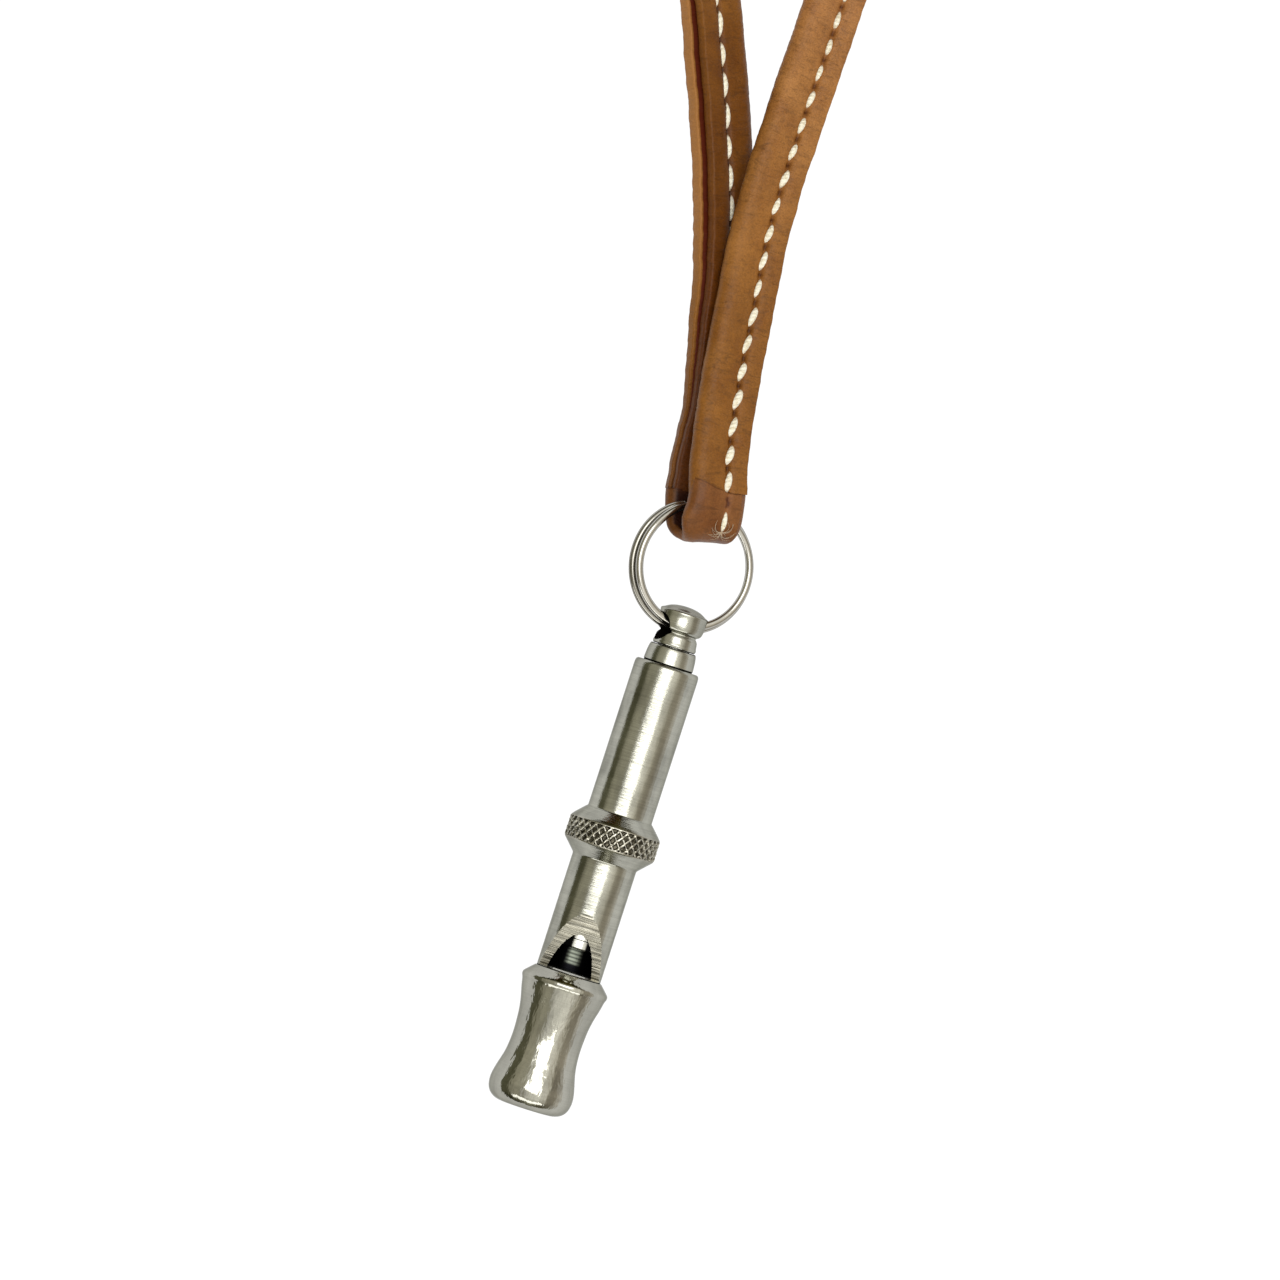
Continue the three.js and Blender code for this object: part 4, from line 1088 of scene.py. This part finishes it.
# tuning screw with its thread, and the flared head for the ring
shank = [(2.501, y) for y in np.arange(29.9, 72.0, 0.08)]
head = ([(2.5, 72.1), (2.5, 72.46), (3.12, 72.46), (3.24, 72.52), (3.33, 72.66), (3.36, 72.85)] + spline([(3.35, 72.95), (3.27, 73.25), (3.22, 73.7), (3.17, 74.15), (3.04, 74.42), (2.95, 74.62), (3.05, 74.78), (3.28, 74.94), (3.50, 75.20), (3.61, 75.55), (3.66, 76.0), (3.65, 76.55), (3.62, 76.95), (3.65, 77.35), (3.70, 77.66)], 4)
        + [(3.70, 77.76), (3.66, 77.88), (3.58, 77.95)] + spline([(3.50, 77.99), (3.2, 78.12), (2.8, 78.36), (2.3, 78.60), (1.7, 78.78), (1.0, 78.90), (0.4, 78.95)], 3))
screw_prof = [(0, 26.62), (1.2, 26.62), (1.38, 26.66), (1.5, 26.85), (1.5, 29.35), (2.05, 29.35), (2.3, 29.55), (2.5, 29.8)] + shank + head + [(0, 78.96)]


def thread(theta, r, y):
    rr = np.full(len(theta), r)
    if r == 2.501:
        ph = (y / 0.8 - theta / (2 * math.pi)) % 1.0
        tri = np.abs(ph * 2 - 1)
        depth = 0.40 * float(smoothstep(y, 29.9, 31.2) * (1 - smoothstep(y, 70.9, 71.9)))
        rr = 2.5 - depth * (1 - np.clip((tri - 0.06) / 0.80, 0, 1))
    return rr


screw = lathe("tuning_screw_turned", screw_prof, 96, m_head, shape=thread, sharp=40)
# cross hole, opened out where it meets the head's sides
hx = np.array([math.cos(math.radians(25)), 0.0, -math.sin(math.radians(25))])
hz = np.array([0, 1.0, 0]); hy = np.cross(hz, hx)
hc = rowmm([0, 75.37, AXIS_Z])
hv, hf = [], []
lx = [-5.0, -4.2, -3.6, -3.2, -2.9, -2.6, -2.2, 0, 2.2, 2.6, 2.9, 3.2, 3.6, 4.2, 5.0]
for x in lx:
    rad = 2.25 + 0.30 * float(smoothstep(abs(x), 2.2, 3.8)) ** 1.5
    for j in range(56):
        th = 2 * math.pi * j / 56
        ry = rad if math.cos(th) > 0 else rad
        hv.append(hc + hx * x + hz * (min(rad, 2.25) * 0.83 if math.cos(th) > 0 else rad) * math.cos(th) + hy * rad * math.sin(th))
hf = grid_faces(len(lx), 56) + [tuple(range(55, -1, -1)), tuple((len(lx) - 1) * 56 + j for j in range(56))]
drill = new_object("drill", np.array(hv), hf)
outward(drill)
# the cross hole's inside is near-black painted shadow
cut(screw, drill, sharp=36, material=m_joint_shadow)
# the domed end face takes the slightly darker, painted-shade nickel
screw.data.materials.append(m_dome)
which = [q.material_index for q in screw.data.polygons]
for k, q in enumerate(screw.data.polygons):
    if q.center[1] * 1000 - SHIFT[1] > 77.9 and which[k] == 0:
        which[k] = 2
screw.data.polygons.foreach_set("material_index", which)
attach(screw, "tuning_screw")
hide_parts("tuning_screw")

# piston
piston = lathe("tuning_piston", [(0, 25.1), (3.4, 25.1), (3.7, 25.16), (3.84, 25.35), (3.84, 26.5), (3.70, 26.62), (3.70, 27.3), (3.84, 27.42), (3.84, 28.95), (3.7, 29.14), (3.4, 29.2),
                                 (1.7, 29.2), (1.55, 29.05), (1.55, 26.5), (0, 26.5)], 120, m_piston, sharp=30)
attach(piston, "piston")
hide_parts("piston")

# ------------------------------------------------------------------- stage
floor_mat = bpy.data.materials.new("pale_floor")
nt, p = nodes_of(floor_mat)
p.inputs["Base Color"].default_value = (0.07, 0.07, 0.07, 1)
p.inputs["Roughness"].default_value = 0.85
p.inputs["Specular IOR Level"].default_value = 0.0
p.inputs["Emission Color"].default_value = (1, 1, 1, 1)
p.inputs["Emission Strength"].default_value = 1.0
floor_mesh = bpy.data.meshes.new("floor")
floor_mesh.from_pydata([(-6, -6, -0.0004), (6, -6, -0.0004), (6, 6, -0.0004), (-6, 6, -0.0004)], [], [(0, 1, 2, 3)])
floor_mesh.materials.append(floor_mat)
floor = bpy.data.objects.new("floor", floor_mesh)
bpy.context.scene.collection.objects.link(floor)


def area_light(name, loc, target, size_x, size_y, radiance, colour=(1, 1, 1)):
    data = bpy.data.lights.new(name, "AREA")
    data.shape = "RECTANGLE"
    data.size, data.size_y = size_x, size_y
    data.energy = radiance * math.pi * size_x * size_y
    data.color = colour
    o = bpy.data.objects.new(name, data)
    o.location = loc
    o.rotation_mode = "QUATERNION"
    o.rotation_quaternion = (Vector(target) - Vector(loc)).to_track_quat("-Z", "Y")
    o.visible_camera = False
    bpy.context.scene.collection.objects.link(o)
    return o


H_ = 1.75
over = area_light("overhead", (0.14, 0.42, H_), (0.14, 0.42, 0), 1.26, 1.25, 3.2)
over.rotation_quaternion = Matrix.Rotation(math.radians(-16), 3, "Z").to_quaternion() @ over.rotation_quaternion
area_light("mouth_side", (-0.05, -1.30, 0.95), (0, 0, 0), 2.3, 0.42, 2.6)

world = bpy.data.worlds.new("studio")
bpy.context.scene.world = world
world.use_nodes = True
wn = world.node_tree
wn.nodes.clear()
wo = wn.nodes.new("ShaderNodeOutputWorld")
bg = wn.nodes.new("ShaderNodeBackground")
wn.links.new(bg.outputs[0], wo.inputs[0])
tc = wn.nodes.new("ShaderNodeTexCoord")
sep = wn.nodes.new("ShaderNodeSeparateXYZ")
wn.links.new(tc.outputs["Generated"], sep.inputs[0])
alpha = math_node(wn, "ARCTAN2", sep.outputs[0], sep.outputs[2])
unit = math_node(wn, "MULTIPLY_ADD", alpha, 1 / (2 * math.pi))
wn.nodes[-1].inputs[2].default_value = 0.5


def at(deg):
    return 0.5 + deg / 360.0


sky = ramp(wn, [(at(-110), (0.50, 0.50, 0.42)), (at(-99), (0.34, 0.34, 0.26)), (at(-92), (0.19, 0.185, 0.115)), (at(-67), (0.17, 0.165, 0.10)), (at(-60), (0.50, 0.475, 0.36)), (at(-48), (0.60, 0.57, 0.44)),
                (at(-28), (0.64, 0.61, 0.48)), (at(-20), (1.0, 0.98, 0.9)), (at(25), (1.6, 1.57, 1.45)), (at(31), (1.55, 1.50, 1.38)), (at(42), (1.15, 1.10, 0.98)), (at(54), (0.66, 0.61, 0.50)),
                (at(62), (0.50, 0.45, 0.36)), (at(73), (0.52, 0.47, 0.38)), (at(84), (0.95, 0.90, 0.82)), (at(110), (0.95, 0.93, 0.88))], unit)
beta = ramp(wn, [(0.0, (0.30, 0.30, 0.24)), (0.10, (0.42, 0.42, 0.36)), (0.22, 0.85), (0.5, 1.0), (0.78, 1.0), (0.90, 0.60), (0.965, (0.11, 0.095, 0.03)), (1.0, (0.055, 0.045, 0.012))], math_node(wn, "MULTIPLY_ADD", sep.outputs[1], 0.5))
for nd in wn.nodes:
    if nd.type == "MATH" and nd.operation == "MULTIPLY_ADD" and nd.inputs[0].is_linked and nd.inputs[0].links[0].from_socket == sep.outputs[1]:
        nd.inputs[2].default_value = 0.5
patch = wn.nodes.new("ShaderNodeTexNoise")
patch.inputs["Scale"].default_value = 5.0
patch.inputs["Detail"].default_value = 3.0
wn.links.new(tc.outputs["Generated"], patch.inputs["Vector"])
wn.links.new(mixc(wn, mixc(wn, sky.outputs[0], beta.outputs[0], 1.0, "MULTIPLY"), ramp(wn, [(0.3, 0.72), (0.5, 1.0), (0.7, 1.18)], patch.outputs["Fac"]).outputs[0], 1.0, "MULTIPLY"), bg.inputs[0])
bg.inputs[1].default_value = 1.0

bpy.context.scene.view_settings.view_transform = "Standard"
bpy.context.scene.view_settings.look = "None"
